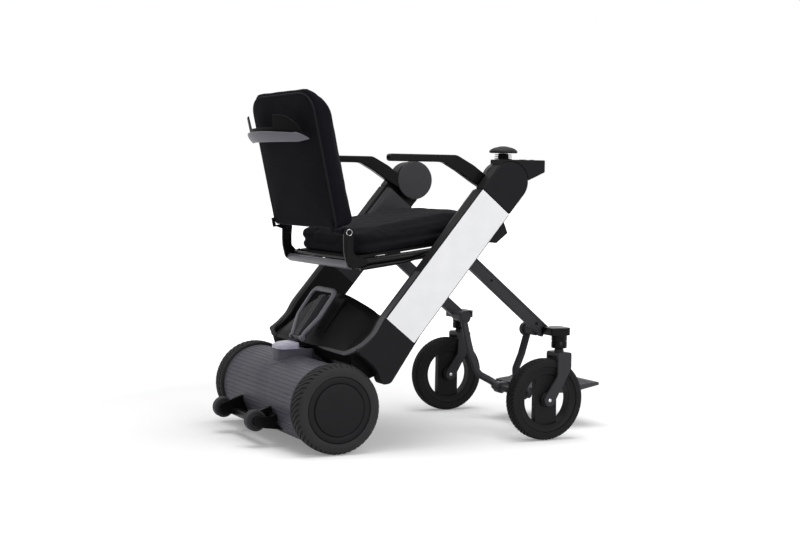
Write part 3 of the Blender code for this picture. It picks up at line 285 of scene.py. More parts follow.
def tyre_rubber(colour):
    finish = Finish("black_tyre", colour, 0.78, specular_ior_level=0.16)
    bloom = finish.spread(finish.noise(34.0, 5.0, 0.65), 0.35, 0.7)
    finish.tint(bloom, 0.16)
    finish.set("Roughness", finish.spread(bloom, 0.0, 1.0, 0.70, 0.88))
    skin = finish.bump(finish.noise(1100.0, 3.0), 0.45, 0.00010)
    finish.set("Normal", finish.bump(finish.noise(160.0, 2.0), 0.12, 0.00015, skin))
    return finish


rubber_rear = tyre_rubber(shade(0.028, 0.04))
rubber_front = tyre_rubber(shade(0.011, 0.04))
print("rubber:", rubber_rear.material.name)

# %% [markdown]
# ## Woven cover
# The cushions wear a tight black polyester weave. Its threads cross at about 0.9 mm. Two sine
# waves along the cloth, multiplied, give the over-and-under of a plain weave from the object's own
# coordinates, so it needs no unwrapping. The cover's sheen is a constant on the shader.

# %% Cloth finish
THREAD = 0.0009


def woven(colour, roughness, sheen, pitch=THREAD):
    finish = Finish("black_fabric", colour, roughness, sheen_weight=sheen, sheen_roughness=0.5,
                    sheen_tint=(0.75, 0.75, 0.85, 1.0), specular_ior_level=0.04)
    x, y, z = finish.axes()
    turns = 2 * pi / pitch
    weave = (x * turns).sine() * ((y + z) * turns).sine()
    threads = weave * 0.5 + 0.5
    cloud = finish.noise(16.0, 4.0, 0.6)
    finish.tint(finish.spread(threads * 0.55 + cloud * 0.45, 0.2, 0.8), 0.22)
    finish.set("Roughness", finish.spread(cloud, 0.3, 0.7, roughness - 0.05, roughness + 0.04))
    fuzz = finish.bump(finish.noise(2600.0, 2.0), 0.25, 0.00008)
    finish.set("Normal", finish.bump(threads, 0.35, 0.00010, fuzz))
    return finish


cloth = woven(shade(0.0072, 0.30), 0.88, 0.006)
cloth_seat = woven(shade(0.0100, 0.16), 0.86, 0.010)
piping = woven(shade(0.014, 0.12), 0.80, 0.02, 0.0014)
print("cloth threads every", THREAD * 1000, "mm")

# %% [markdown]
# ## Shapes that the pieces share
# Nearly every piece is one of four shapes: an outline pushed along an axis, a profile turned about
# an axis, a section carried along a path, or outlines joined in order. Each helper returns a bmesh
# in the chair's own coordinates, which start on the floor under the rear axle.

# %% Outlines and paths
SIDES = ((-1, "right"), (1, "left"))


def arc(centre, radius, start, end, steps):
    """Points of an arc in a plane, angles in degrees, both ends included."""
    return [(centre[0] + radius * cos(radians(start + (end - start) * i / steps)),
             centre[1] + radius * sin(radians(start + (end - start) * i / steps))) for i in range(steps + 1)]


def rounded(points, radius, steps=5, closed=True):
    """The same outline or path with each corner rounded. A point may end with its own radius."""
    count = len(points)
    size = 3 if len(points[0]) > 2 and isinstance(points[0], Vector) else 2
    made = []
    for i, point in enumerate(points):
        own = point[size] if len(point) > size else radius
        here = Vector(point[:size])
        if not closed and i in (0, count - 1):
            made.append(tuple(here))
            continue
        before = Vector(points[i - 1][:size])
        after = Vector(points[(i + 1) % count][:size])
        into, out = (before - here), (after - here)
        half = into.angle(out) / 2
        if own <= 0 or half > radians(88):
            made.append(tuple(here))
            continue
        reach = min(own / max(0.05, tan(half)), into.length * 0.48, out.length * 0.48)
        start, end = here + into.normalized() * reach, here + out.normalized() * reach
        for k in range(steps + 1):
            t = k / steps
            made.append(tuple(start * (1 - t) ** 2 + here * 2 * t * (1 - t) + end * t ** 2))
    return made


def rounded_path(points, radius, steps=6):
    return [Vector(p) for p in rounded([Vector(p) for p in points], radius, steps, closed=False)]


print("a quarter arc:", [tuple(round(v, 2) for v in p) for p in arc((0, 0), 1, 0, 90, 2)])

# %% Solids


def joined(rings, closed_rows=False, caps=True):
    """Rings of equal count joined in order, with ends capped or the last ring joined to the first."""
    bm = bmesh.new()
    rows = [[bm.verts.new(p) for p in ring] for ring in rings]
    count = len(rows[0])
    pairs = list(zip(rows, rows[1:])) + ([(rows[-1], rows[0])] if closed_rows else [])
    for first, second in pairs:
        for i in range(count):
            j = (i + 1) % count
            bm.faces.new((first[i], first[j], second[j], second[i]))
    if caps and not closed_rows:
        bm.faces.new(rows[0])
        bm.faces.new(list(reversed(rows[-1])))
    return bm


def prism(outline, low, high, axis="X"):
    place = {"X": lambda p, along: (along, p[0], p[1]),
             "Z": lambda p, along: (p[0], p[1], along)}[axis]
    return joined([[place(p, along) for p in outline] for along in (low, high)])


def side_prism(outline, side, inner, outer):
    low, high = sorted((side * inner, side * outer))
    return prism(outline, low, high)


def turned(profile, centre, axis="X", count=96):
    """A profile of (along, radius) turned about an axis. One that starts and ends at radius 0 is
    a solid, and any other is closed on itself into a ring."""
    along, side_a, side_b = {"X": (Vector((1, 0, 0)), Vector((0, 1, 0)), Vector((0, 0, 1))),
                             "Z": (Vector((0, 0, 1)), Vector((1, 0, 0)), Vector((0, 1, 0)))}[axis]
    solid = profile[0][1] == 0
    inner = [p for p in profile if p[1] > 0]
    base = Vector(centre)
    turns = [2 * pi * i / count for i in range(count)]
    rings = [[base + along * x + (side_a * cos(t) + side_b * sin(t)) * r for t in turns] for x, r in inner]
    bm = joined(rings, closed_rows=not solid, caps=False)
    if solid:
        bm.verts.ensure_lookup_table()
        for place, ring in ((profile[0][0], 0), (profile[-1][0], len(rings) - 1)):
            tip = bm.verts.new(base + along * place)
            bm.verts.ensure_lookup_table()
            for i in range(count):
                bm.faces.new((tip, bm.verts[ring * count + i], bm.verts[ring * count + (i + 1) % count]))
    return bm


def cylinder(low, high, radius, centre, axis="X", count=96):
    return turned([(low, 0), (low, radius), (high, radius), (high, 0)], centre, axis, count)


def sided(side, profile):
    """A profile of (x, radius) for one side of the chair."""
    return [(side * x, radius) for x, radius in profile]


def mirrored(profile):
    """A profile and its mirror image, so a wheel is the same on both faces."""
    return list(profile) + [(-p[0], *p[1:]) for p in reversed(profile)]


def both_ways(half):
    """A path across the chair from the points of its left half."""
    return [(-x, y, z) for x, y, z in half] + list(reversed(half))


def oval(half_a, half_b, count=16, power=2.0):
    """A section: an ellipse at power 2, and nearer a rounded box as the power grows."""
    points = []
    for k in range(count):
        c, s = cos(2 * pi * k / count), sin(2 * pi * k / count)
        points.append((half_a * abs(c) ** (2 / power) * (1 if c >= 0 else -1),
                       half_b * abs(s) ** (2 / power) * (1 if s >= 0 else -1)))
    return points


def swept(path, section, up=(0, 0, 1), closed=False):
    """A section carried along a path. Its first coordinate lies across path and up."""
    points = [Vector(p) for p in path]
    rings = []
    across = None
    for i, point in enumerate(points):
        if closed:
            ahead = points[(i + 1) % len(points)] - points[i - 1]
        else:
            ahead = points[min(i + 1, len(points) - 1)] - points[max(i - 1, 0)]
        ahead.normalize()
        if across is None:
            across = ahead.cross(Vector(up)).normalized()
        across = (across - ahead * across.dot(ahead)).normalized()
        above = across.cross(ahead).normalized()
        rings.append([point + across * a + above * b for a, b in section])
    return joined(rings, closed_rows=closed)


def merged(*parts):
    """Several closed shapes in one mesh."""
    whole = parts[0]
    for part in parts[1:]:
        mesh = bpy.data.meshes.new("part")
        part.to_mesh(mesh)
        part.free()
        whole.from_mesh(mesh)
        bpy.data.meshes.remove(mesh)
    return whole


print("shapes ready")

# %% [markdown]
# ## Putting a piece on the chair
# A piece is finished in one call: its mesh is shifted to the frame's origin, its edges are
# rounded by a bevel (real mouldings have no knife edges, and it is the rounded edge that catches
# the light), it gets its finish, and it rides on the body that carries it.

# %% Piece


def piece(name, bm, finish, body, nodes=(), bevel=0.0, segments=3, sharp=32.0, angle=32.0, smooth=0):
    bmesh.ops.recalc_face_normals(bm, faces=bm.faces)
    bmesh.ops.translate(bm, verts=bm.verts, vec=(0, AXLE_Y, 0))
    mesh = bpy.data.meshes.new(name)
    bm.to_mesh(mesh)
    bm.free()
    mesh.shade_smooth()
    if not bevel and sharp:
        mesh.set_sharp_from_angle(angle=radians(sharp))
    mesh.materials.append(finish.material)
    made = bpy.data.objects.new(name, mesh)
    bpy.context.scene.collection.objects.link(made)
    if bevel:
        edge = made.modifiers.new("rounded_edges", "BEVEL")
        edge.width = bevel
        edge.segments = segments
        edge.limit_method = "ANGLE"
        edge.angle_limit = radians(angle)
        edge.harden_normals = True
        edge.use_clamp_overlap = True
    if smooth:
        finer = made.modifiers.new("finer", "SUBSURF")
        finer.levels = smooth
        finer.render_levels = smooth
    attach(made, body)
    if nodes:
        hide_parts(*nodes)
    return made


def pair(name, make, finish, body="chair", stands_in=True, **looks):
    """The same piece on both sides. make(side) gives its mesh, and {} in body is the side's word."""
    for side, word in SIDES:
        nodes = [f"{name}_{word}"] if stands_in else []
        made = piece(f"{name}_{word}", make(side), finish, body.format(word), nodes, **looks)
    return made


def refinish(node, finish):
    """A frame node whose shape is right keeps it and takes a better material."""
    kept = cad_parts[node]
    for place in kept.material_slots:
        place.material = finish.material


# The side view's own coordinates, as the frame was drawn in them
ARM_TOP = (-0.4164, 0.6020)
ARM_TILT = radians(50.6)
SEAT_TILT = radians(8.0)
SEAT_REAR = (-0.0980, 0.4150)
BACK_PIVOT = (-0.0540, 0.4840)
BACK_LEAN = radians(12.6)
LIP = (-0.0370, 0.2155)
WALL_FOOT = (-0.0450, 0.2350)
WALL_TILT = radians(54.8)


def on_arm(u, v):
    """u down the arm, v towards its rear edge, from the middle of its round top."""
    return (ARM_TOP[0] + u * cos(ARM_TILT) + v * sin(ARM_TILT),
            ARM_TOP[1] - u * sin(ARM_TILT) + v * cos(ARM_TILT))


def on_seat(f, g):
    return (SEAT_REAR[0] - f * cos(SEAT_TILT) + g * sin(SEAT_TILT),
            SEAT_REAR[1] + f * sin(SEAT_TILT) + g * cos(SEAT_TILT))


def on_back(a, b):
    return (BACK_PIVOT[0] + a * sin(BACK_LEAN) + b * cos(BACK_LEAN),
            BACK_PIVOT[1] + a * cos(BACK_LEAN) - b * sin(BACK_LEAN))


def on_wall(s, d):
    return (WALL_FOOT[0] - s * cos(WALL_TILT) + d * sin(WALL_TILT),
            WALL_FOOT[1] + s * sin(WALL_TILT) + d * cos(WALL_TILT))


print("arm's top sits at", ARM_TOP)

# %% [markdown]
# ## Rear tyres
# Each rear tyre is one rubber ring with shoulder lugs. It is built as rows across the tread, where
# every column of points is either on a lug or in a notch. A notch depth in the profile says how
# far that row drops between two lugs, so the plain inner band and the sidewall stay round.

# %% Rear tyres
WHEEL_R = 0.0997
LUG_SHARES = (0.0, 0.62, 0.70, 0.92)


def treaded(centre, side, profile, lugs, slant):
    """A ring about X from (x, radius, notch) rows, with notches cut between the lugs."""
    base = Vector(centre)
    rings = []
    for x, radius, notch in profile:
        ring = []
        for lug in range(lugs):
            for k, share in enumerate(LUG_SHARES):
                turn = 2 * pi * (lug + share + slant * (x - profile[0][0])) / lugs
                r = radius - (notch if k >= 2 else 0.0)
                ring.append(base + Vector((side * x, r * cos(turn), r * sin(turn))))
        rings.append(ring)
    return joined(rings, closed_rows=True)


REAR_TYRE = ((0.2762, 0.0745, 0), (0.2769, 0.0775, 0), (0.2774, 0.0830, 0), (0.2766, 0.0868, 0),
             (0.2752, 0.0902, 0), (0.2735, 0.0928, 0), (0.2720, 0.0946, 0.0014), (0.2703, 0.0960, 0.0032),
             (0.2682, 0.0981, 0.0038), (0.2660, 0.0991, 0.0038), (0.2600, 0.0995, 0.0038),
             (0.2500, 0.0997, 0.0038), (0.2420, 0.0995, 0.0036), (0.2404, 0.0984, 0.0022),
             (0.2396, 0.0960, 0), (0.2380, 0.0960, 0), (0.2371, 0.0984, 0), (0.2312, 0.0984, 0),
             (0.2291, 0.0958, 0), (0.2283, 0.0900, 0), (0.2280, 0.0745, 0))
REAR_LUGS = 48
REAR_SLANT = 60.0
WHEEL_MIDDLE = (0, 0, WHEEL_R)
tyre = pair("rear_tyre", lambda side: treaded(WHEEL_MIDDLE, side, REAR_TYRE, REAR_LUGS, REAR_SLANT),
            rubber_rear, "rear_wheel_{}", sharp=28)
print("rear tyre points:", len(tyre.data.vertices))

# %% [markdown]
# ## Rear rims and hub caps
# Inside the tyre sits a flat ring with a fine groove at each side, and in it a plain disc. Both are
# turned profiles. Their faces are nearly flush, so the grooves and the slight dome carry the look.

# %% Rear rims and hub caps
RIM = ((0.2300, 0.0105), (0.2300, 0.0737), (0.2738, 0.0737), (0.2747, 0.0731), (0.2753, 0.0718),
       (0.2757, 0.0660), (0.2753, 0.0606), (0.2746, 0.0595), (0.2720, 0.0591), (0.2718, 0.0105))
HUB_CAP = ((0.2724, 0), (0.2724, 0.0580), (0.2754, 0.0580), (0.2763, 0.0573), (0.2767, 0.0556),
           (0.2770, 0.0300), (0.2772, 0))
for name, profile in (("rear_rim", RIM), ("rear_hub_cap", HUB_CAP)):
    pair(name, lambda side: turned(sided(side, profile), WHEEL_MIDDLE), hub_plastic, "rear_wheel_{}",
         sharp=40)
for _, word in SIDES:
    refinish(f"motor_{word}", cast_metal)
print("hub cap radius", HUB_CAP[1][1])

# %% [markdown]
# ## Drive drum
# The drum is an extrusion with fine lengthwise ribs, closed by a smooth ring at each end. The
# ribs are real geometry: four points to each rib round the outline, then one straight extrusion.
# A shallow round plate lies on top, bent to the drum, where the neck stands.

# %% Drum
DRUM_R = 0.0913
DRUM_RIBS = 58
DRUM_END = 0.2128


def ribbed_tube():
    outer = []
    for rib in range(DRUM_RIBS):
        for share, depth in ((0.0, 0.0), (0.66, 0.0), (0.76, 0.0010), (0.90, 0.0010)):
            turn = 2 * pi * (rib + share) / DRUM_RIBS
            outer.append(((DRUM_R - depth) * cos(turn), WHEEL_R + (DRUM_R - depth) * sin(turn)))
    inner = [(y * 0.93, WHEEL_R + (z - WHEEL_R) * 0.93) for y, z in outer]
    order = ((-DRUM_END, outer), (DRUM_END, outer), (DRUM_END, inner), (-DRUM_END, inner))
    return joined([[(x, y, z) for y, z in loop] for x, loop in order], closed_rows=True)


def boss_plate():
    profile = [(-0.0040, 0), (-0.0040, 0.0528), (0.0000, 0.0532), (0.0008, 0.0527)]
    profile += [(0.0011, radius) for radius in (0.0516, 0.0400, 0.0270, 0.0140, 0)]
    plate = turned(profile, (0, 0.0040, 0), "Z", 72)
    for vert in plate.verts:
        vert.co.z += WHEEL_R + (DRUM_R ** 2 - vert.co.y ** 2) ** 0.5
    return plate


piece("drive_drum", ribbed_tube(), drum_grey, "chair", ["drive_drum"], sharp=20)
piece("drum_plate", boss_plate(), drum_grey, "chair", sharp=50)
DRUM_RING = ((0.2131, 0.0300), (0.2131, 0.0904), (0.2139, 0.0913), (0.2248, 0.0915), (0.2262, 0.0906),
             (0.2265, 0.0890), (0.2265, 0.0300))
pair("drive_end", lambda side: turned(sided(side, DRUM_RING), WHEEL_MIDDLE, count=120), drum_grey, sharp=40)
print("ribs", DRUM_RIBS, "each", round(2000 * pi * DRUM_R / DRUM_RIBS, 1), "mm wide")

# %% [markdown]
# ## Neck and its cap
# The neck carries the body on the drum. It is a rounded block whose cap is a glossy, pale, gently
# domed moulding. The cap is built as rings that shrink towards its middle and follow its sloping
# top, which gives it soft edges all round.

# %% Neck and cap


def rounded_plan(x_half, y_low, y_high, front, rear):
    """A plan outline (x, y): corner radii at the rear (high y) and the front."""
    corners = [(x_half, y_high, rear), (-x_half, y_high, rear), (-x_half, y_low, front),
               (x_half, y_low, front)]
    return rounded(corners, rear, 8)


CAP_TOP = ((-0.010, 0.2236), (0.004, 0.2246), (0.016, 0.2243), (0.030, 0.2216), (0.040, 0.2180),
           (0.050, 0.2130))
CAP_FOOT = 0.2083
CAP_MIDDLE = 0.0215


def level(table, at):
    """The value at a place in a table of (place, value), on straight lines between its rows."""
    for (x0, v0), (x1, v1) in zip(table, table[1:]):
        if at <= x1:
            return v0 + (v1 - v0) * (at - x0) / (x1 - x0)
    return table[-1][1]


def domed_cap():
    outline = rounded_plan(0.0325, -0.0030, 0.0465, 0.007, 0.019)
    rings = [[(x, y, CAP_FOOT) for x, y in outline]]
    for scale, drop in ((1.0, 0.0030), (0.985, 0.0014), (0.955, 0.0005), (0.86, 0.0), (0.60, -0.0004),
                        (0.25, -0.0006)):
        ring = []
        for x, y in outline:
            here = CAP_MIDDLE + (y - CAP_MIDDLE) * scale
            ring.append((x * scale, here, level(CAP_TOP, here) - drop - 1.2 * (x * scale) ** 2))
        rings.append(ring)
    return joined(rings)


neck = joined([[(x, y, z) for x, y in rounded_plan(0.0305 + flare, -0.0385, 0.0450 + flare, 0.004, 0.021)]
               for z, flare in ((0.1600, 0.0), (0.1865, 0.0), (0.2070, 0.0), (0.2080, -0.0008))])
root = side_prism([(-0.0200, 0.1600), (-0.0200, 0.2080), (-0.0390, 0.2080)]
                  + arc((0.0, WHEEL_R), 0.1032, 116, 144, 8) + [(-0.0650, 0.1450)], 1, -0.0265, 0.0265)
piece("drive_neck", merged(neck, root), drum_grey, "chair", ["drive_neck"], sharp=35)
piece("drive_cap", domed_cap(), trim, "chair", ["drive_cap"], sharp=50)
print("cap top at", round(level(CAP_TOP, 0.01), 4))

# %% [markdown]
# ## Body housing
# The shell between the arms is one big moulding: a flat rear wall, a rounded crest that falls
# towards each arm, and an underside that clears the drum. It is lofted across the chair from one
# side view, scaled at each station to the crest's height there.

# %% Housing
CREST = 0.3360
TOPS = ((0.0, 0.3360), (0.045, 0.3310), (0.090, 0.3235), (0.135, 0.3155), (0.165, 0.3090), (0.185, 0.3010),
        (0.200, 0.2930), (0.215, 0.2835), (0.2401, 0.2690))


def housing_mesh():
    corners = [(*LIP, 0.003), (*on_wall(0.0, 0.0), 0.030), (*on_wall(0.108, 0.0), 0.020),
               (-0.1240, CREST, 0.010), (-0.1400, 0.3190, 0.016), (-0.1760, 0.2960, 0.020),
               (-0.1860, 0.2760, 0.014), (-0.1640, 0.2300, 0.010), (-0.1360, 0.1960, 0.004),
               (-0.1060, 0.1680, 0.002)]
    outline = rounded(corners, 0.01, 5) + list(reversed(arc((0.0, WHEEL_R), 0.1035, 116, 144, 8)))
    rings = []
    stations = [x * 0.0125 for x in range(17)] + [0.2060, 0.2075, 0.2150, 0.2230, 0.2310, 0.2401]
    for x in [-s for s in reversed(stations[1:])] + stations:
        top = level(TOPS, abs(x))
        share = (top - LIP[1]) / (CREST - LIP[1])
        ease = 0.010 * (1 - share) + (0.0016 if abs(x) > 0.2065 else 0.0)
        rings.append([(x, y - (ease if z > LIP[1] + 0.006 and y > -0.15 else 0.0),
                       LIP[1] + (z - LIP[1]) * share if z > LIP[1] else z) for y, z in outline])
    return joined(rings)


piece("body_housing", housing_mesh(), body_shell, "chair", ["body_housing"], sharp=34)
print("housing crest", CREST, "m, falling to", TOPS[-1][1])

# %% [markdown]
# ## Battery pack
# The pack slides into the rear wall. Only its flush face and its spine show. The spine is a bar with
# four lengthwise ribs that people grip, and it runs on below the wall to hold the carrying handle.

# %% Battery pack
RIDGE_HALF = 0.0125
RIDGE_RIBS = 4
RIDGE_D = 0.0340
FOOT_S, FOOT_D, FOOT_X = -0.0225, 0.0290, 0.0300


def battery_mesh():
    spine = [on_wall(s, d) for s, d in
             ((0.1000, 0.0060), (0.0960, RIDGE_D - 0.0030), (-0.0160, RIDGE_D - 0.0030), (-0.0270, 0.0290),
              (-0.0295, 0.0240), (-0.0250, 0.0180), (0.0180, 0.0060))]
    parts = [prism(rounded(spine, 0.003), -RIDGE_HALF, RIDGE_HALF)]
    for k in range(RIDGE_RIBS):
        middle = -RIDGE_HALF + (k + 0.5) * 2 * RIDGE_HALF / RIDGE_RIBS
        rib = [on_wall(s, d) for s, d in
               ((0.0930, RIDGE_D - 0.0040), (0.0915, RIDGE_D + 0.0008), (-0.0150, RIDGE_D + 0.0008),
                (-0.0235, 0.0310), (-0.0200, 0.0270))]
        parts.append(prism(rounded(rib, 0.002), middle - 0.0020, middle + 0.0020))
    reach = FOOT_X + 0.0030
    parts.append(cylinder(-reach, reach, 0.0030, (0, *on_wall(FOOT_S, FOOT_D)), count=24))
    return merged(*parts)


ridge_plastic = moulded("satin_black_shell", shade(0.040, 0.14), 0.40)
piece("battery_pack", battery_mesh(), ridge_plastic, "battery", ["battery_pack"], bevel=0.0009, segments=3)
SLAB_HALF = 0.0548
slab = [on_wall(s, d) for s, d in ((0.0150, 0.0012), (0.1075, 0.0012), (0.1075, -0.0560), (0.0150, -0.0560))]
piece("battery_slab", prism(rounded(slab, 0.003), -SLAB_HALF, SLAB_HALF), body_shell, "battery", bevel=0.0008)
print("spine", round(2000 * RIDGE_HALF), "mm wide")

# %% [markdown]
# ## Battery handle
# A flat loop of pale grey plastic lies round the spine and swings up on a pin at its foot. It is a
# rounded flat section carried along one path, with an eye at each end.

# %% Battery handle
BAIL_HALF = 0.0630


def bail_mesh():
    half = [(FOOT_X, *on_wall(FOOT_S, FOOT_D)), (FOOT_X + 0.004, *on_wall(FOOT_S + 0.012, 0.0320)),
            (BAIL_HALF, *on_wall(0.0340, RIDGE_D)), (BAIL_HALF, *on_wall(0.1070, RIDGE_D))]
    strip = swept(rounded_path(both_ways(half), 0.020, 7), oval(0.0034, 0.0062, 20, 3.2), up=(1, 0, 0))
    eye = mirrored([(-0.0036, 0.0034), (-0.0040, 0.0040), (-0.0040, 0.0062), (-0.0030, 0.0070)])
    eyes = [turned(eye, (side * FOOT_X, *on_wall(FOOT_S, FOOT_D)), count=32) for side, _ in SIDES]
    return merged(strip, *eyes)


piece("battery_handle", bail_mesh(), bail_grey, "battery_bail", ["battery_handle"], sharp=60)
print("handle loop", round(2000 * BAIL_HALF), "mm wide")

# %% [markdown]
# ## Side arms
# Each arm is a deep flat moulding with softly rounded edges, open at its foot round the wheel.
# Seen from behind, its upper part is thicker on the inside, and that thicker inner band is painted
# paler than the arm: painted light for its rear-facing side. The pale panel stands a hair proud of
# the outer face, with a narrow dark border, and the round top is a moulding of its own with a
# softer edge.

# %% Arms
ARM_HALF = 0.0466
ARM_OUT = 0.2770
ARM_IN = 0.2405
SPLIT_U = 0.0585
ARM_FOOT = [(-0.0865, 0.2660, 0.050), (-0.0660, 0.2455, 0.050), (-0.0430, 0.2285, 0.004),
            (-0.0450, 0.2220, 0.003)]
ARM_WELL = [(-0.0470, 0.2190, 0.004), (-0.0560, 0.2130, 0.010), (-0.0880, 0.1860, 0.060),
            (-0.1010, 0.1500, 0.013), (-0.1230, 0.1530, 0.016)]
BAND_INNER = ((0.0590, 0.2205), (0.1000, 0.2205), (0.1500, 0.2215), (0.2200, 0.2290), (0.3050, 0.2400))


def arm_side():
    """The lower arm from the side: its rear edge, its foot, the wheel's well and its front edge."""
    rear = [(*on_arm(SPLIT_U + 0.0003, ARM_HALF), 0), (*on_arm(0.435, ARM_HALF), 0.03)]
    front = [(*on_arm(0.405, -ARM_HALF), 0.05), (*on_arm(SPLIT_U + 0.0003, -ARM_HALF), 0)]
    return rounded(rear + ARM_FOOT + ARM_WELL + front, 0.01, 4)


def inner_band(side):
    """The thicker upper part: it stands inwards and thins out down the arm."""
    low, high = -ARM_HALF + 0.0030, ARM_HALF - 0.0050
    root = ARM_IN + 0.0040
    rings = []
    for u, inner in BAND_INNER:
        ring = ((root, low), (inner + 0.0020, low), (inner, low + 0.0030), (inner, high - 0.0080),
                (inner + 0.0012, high - 0.0030), (inner + 0.0050, high), (root, high))
        rings.append([(side * x, *on_arm(u, v)) for x, v in ring])
    return joined(rings)


def panel_outline():
    edge = 0.0440
    corners = ((SPLIT_U + 0.0010, edge), (0.4300, edge), (0.4300, -edge), (SPLIT_U + 0.0010, -edge))
    return rounded([on_arm(u, v) for u, v in corners], 0.0008, 3)


def cap_outline():
    round_top = arc(ARM_TOP, ARM_HALF, 90 - degrees(ARM_TILT), 270 - degrees(ARM_TILT), 56)
    return round_top + [on_arm(SPLIT_U - 0.0003, -ARM_HALF), on_arm(SPLIT_U - 0.0003, ARM_HALF)]


pair("arm", lambda side: side_prism(arm_side(), side, ARM_IN, ARM_OUT - 0.0002), shell,
     bevel=0.0030, segments=4, angle=50)
# The inner band is painted paler than the arm: painted light on its rear-facing side.
pair("arm_band", inner_band, painted_lit_shell, stands_in=False, sharp=40)
pair("inlay", lambda side: side_prism(panel_outline(), side, ARM_OUT - 0.0040, ARM_OUT + 0.0003), inlay,
     bevel=0.0006, segments=2)
pair("arm_cap", lambda side: side_prism(cap_outline(), side, ARM_IN, ARM_OUT), shell,
     bevel=0.0042, segments=5, angle=50)
print("arm", round(2000 * ARM_HALF), "mm deep,", round(1000 * (ARM_OUT - ARM_IN), 1), "mm thick")

# %% [markdown]
# ## Trim along the arms' rear edge
# A slim satin strip runs down each arm's rear edge, turns in at the foot and fades out along the
# housing's lower lip. It is two thin closed lofts that meet at the corner. The path of the first is
# a smooth curve through a few points, which carries the strip round the turn without a kink. The
# right strip is painted paler than the arm, a painted highlight for the light that side catches,
# and the left one keeps the arm's own finish.

# %% Edge trim
# Where the strip turns in: a point (x, y, z), then the half width across it as a vector
TRIM_TURN = [(0.2630, -0.0865, 0.2660, 0.0115, 0.0, 0.0), (0.2620, -0.0660, 0.2462, 0.0110, 0.0, -0.0006),
             (0.2560, -0.0500, 0.2335, 0.0098, 0.0008, -0.0020),
             (0.2420, -0.0400, 0.2250, 0.0070, 0.0014, -0.0034),
             (0.2240, -0.0352, 0.2185, 0.0048, 0.0016, -0.0040),
             (0.2040, -0.0350, 0.2158, 0.0030, 0.0010, -0.0038)]
# Painted highlight: a paler copy of the shell for the right strip, standing in for the light that side
# catches.
painted_lit_trim = moulded("satin_black_shell", shade(0.052, 0.10), 0.42)


def smooth_path(points, steps):
    """A smooth curve through all the points, as vectors."""
    knots = [Vector(p) for p in points]
    knots = [knots[0] * 2 - knots[1]] + knots + [knots[-1] * 2 - knots[-2]]
    curve = []
    for p0, p1, p2, p3 in zip(knots, knots[1:], knots[2:], knots[3:]):
        for k in range(steps):
            t = k / steps
            curve.append(((2 * p1) + (p2 - p0) * t + (2 * p0 - 5 * p1 + 4 * p2 - p3) * t * t
                          + (3 * p1 - p0 - 3 * p2 + p3) * t ** 3) * 0.5)
    return curve + [knots[-2]]


def edge_trim(side):
    """Down the arm's rear edge, then inwards across the corner to the lip."""
    rows = [(0.2630, *on_arm(u, ARM_HALF), 0.0115, 0.0, 0.0) for u in (0.300, 0.380, 0.435)] + TRIM_TURN
    path = smooth_path([(side * x, y, z) for x, y, z, *_ in rows], 5)
    spans = smooth_path([(side * wide, back, drop) for *_, wide, back, drop in rows], 5)
    rings = []
    for i, (point, span) in enumerate(zip(path, spans)):
        ahead = (path[min(i + 1, len(path) - 1)] - path[max(i - 1, 0)]).normalized()
        out = ahead.cross(span).normalized() * -side
        if out.y < 0:
            out = -out
        sunk, proud = out * 0.0030, out * 0.0009
        rings.append([point - span - sunk, point + span - sunk, point + span * 0.96 + proud,
                      point - span * 0.96 + proud])
    return joined(rings)


def lip_trim(side):
    """Along the lip from near the middle, where it has faded out, to the corner."""
    lift = Vector((0, 0.0014, 0.0003))
    rings = []
    for x, tall in ((0.0650, 0.0004), (0.0900, 0.0022), (0.1250, 0.0034), (0.1700, 0.0039), (0.2045, 0.0041)):
        base = Vector((side * x, LIP[0] + 0.0006, LIP[1] + 0.0006))
        low, high = Vector((0, 0.0004, -tall)), Vector((0, -0.0016, tall))
        rings.append([base + low, base + high, base + high * 0.94 + lift, base + low * 0.94 + lift])
    return joined(rings)


for (side, word), finish in zip(SIDES, (painted_lit_trim, shell)):
    piece(f"edge_trim_{word}", merged(edge_trim(side), lip_trim(side)), finish, "chair", sharp=30)
print("trim strips turn in over", len(TRIM_TURN), "points")

# %% [markdown]
# ## Armrests
# An armrest is a bar that runs level and then bends down, deeper, into a round hub on the arm's
# top. Bar and hub are one black moulding with generous edge rounding, and a satin disc covers the
# hub's inner face. That disc is painted paler than the shell, painted light for its rear-facing side.
# The right hub is a little smaller, to clear the control box.

# %% Armrests
REST_SIDE = [(-0.1290, 0.6445, 0.0078), (-0.1290, 0.6612, 0.0078), (-0.2980, 0.6612, 0.030),
             (-0.3415, 0.6385, 0.040), (-0.3880, 0.6060, 0.010), (-0.3740, 0.5800, 0.004),
             (-0.3416, 0.5985, 0.030), (-0.2999, 0.6250, 0.030), (-0.2640, 0.6445, 0.035)]
HUB_R = {-1: 0.0463, 1: 0.0490}


def armrest_mesh(side):
    r = HUB_R[side]
    bar = side_prism(rounded(REST_SIDE, 0.01, 7), side, 0.2190, 0.2394)
    profile = ((0.2175, 0), (0.2175, r - 0.0040), (0.2186, r - 0.0012), (0.2205, r), (0.2402, r), (0.2402, 0))
    return merged(bar, turned(sided(side, profile), (0, *ARM_TOP)))


def armrest_cover(side):
    """The thin disc on the hub's inner face."""
    r = HUB_R[side]
    profile = ((0.2190, 0), (0.2190, r - 0.0006), (0.2178, r - 0.0010), (0.2173, r - 0.0022),
               (0.2172, r - 0.0040), (0.2172, 0))
    return turned(sided(side, profile), (0, *ARM_TOP))


# The hub disc is painted paler than the shell: painted light on its rear-facing side.
pair("armrest_cover", armrest_cover, painted_lit_shell, "armrest_{}_arm", stands_in=False, sharp=50)
pair("armrest", armrest_mesh, gloss_black, "armrest_{}_arm", bevel=0.0052, segments=5, angle=50)
print("armrest top at", REST_SIDE[1][1])

# %% [markdown]
# ## Control box and joystick
# The box reaches forward from the right arm's top. Its joystick is a mushroom knob in soft rubber
# over a bellows with three thin ribs. On the real chair the stick squeezes the bellows. Here it
# stands on the box as one firm ring, so when the stick leans, the knob dips into its top rib.

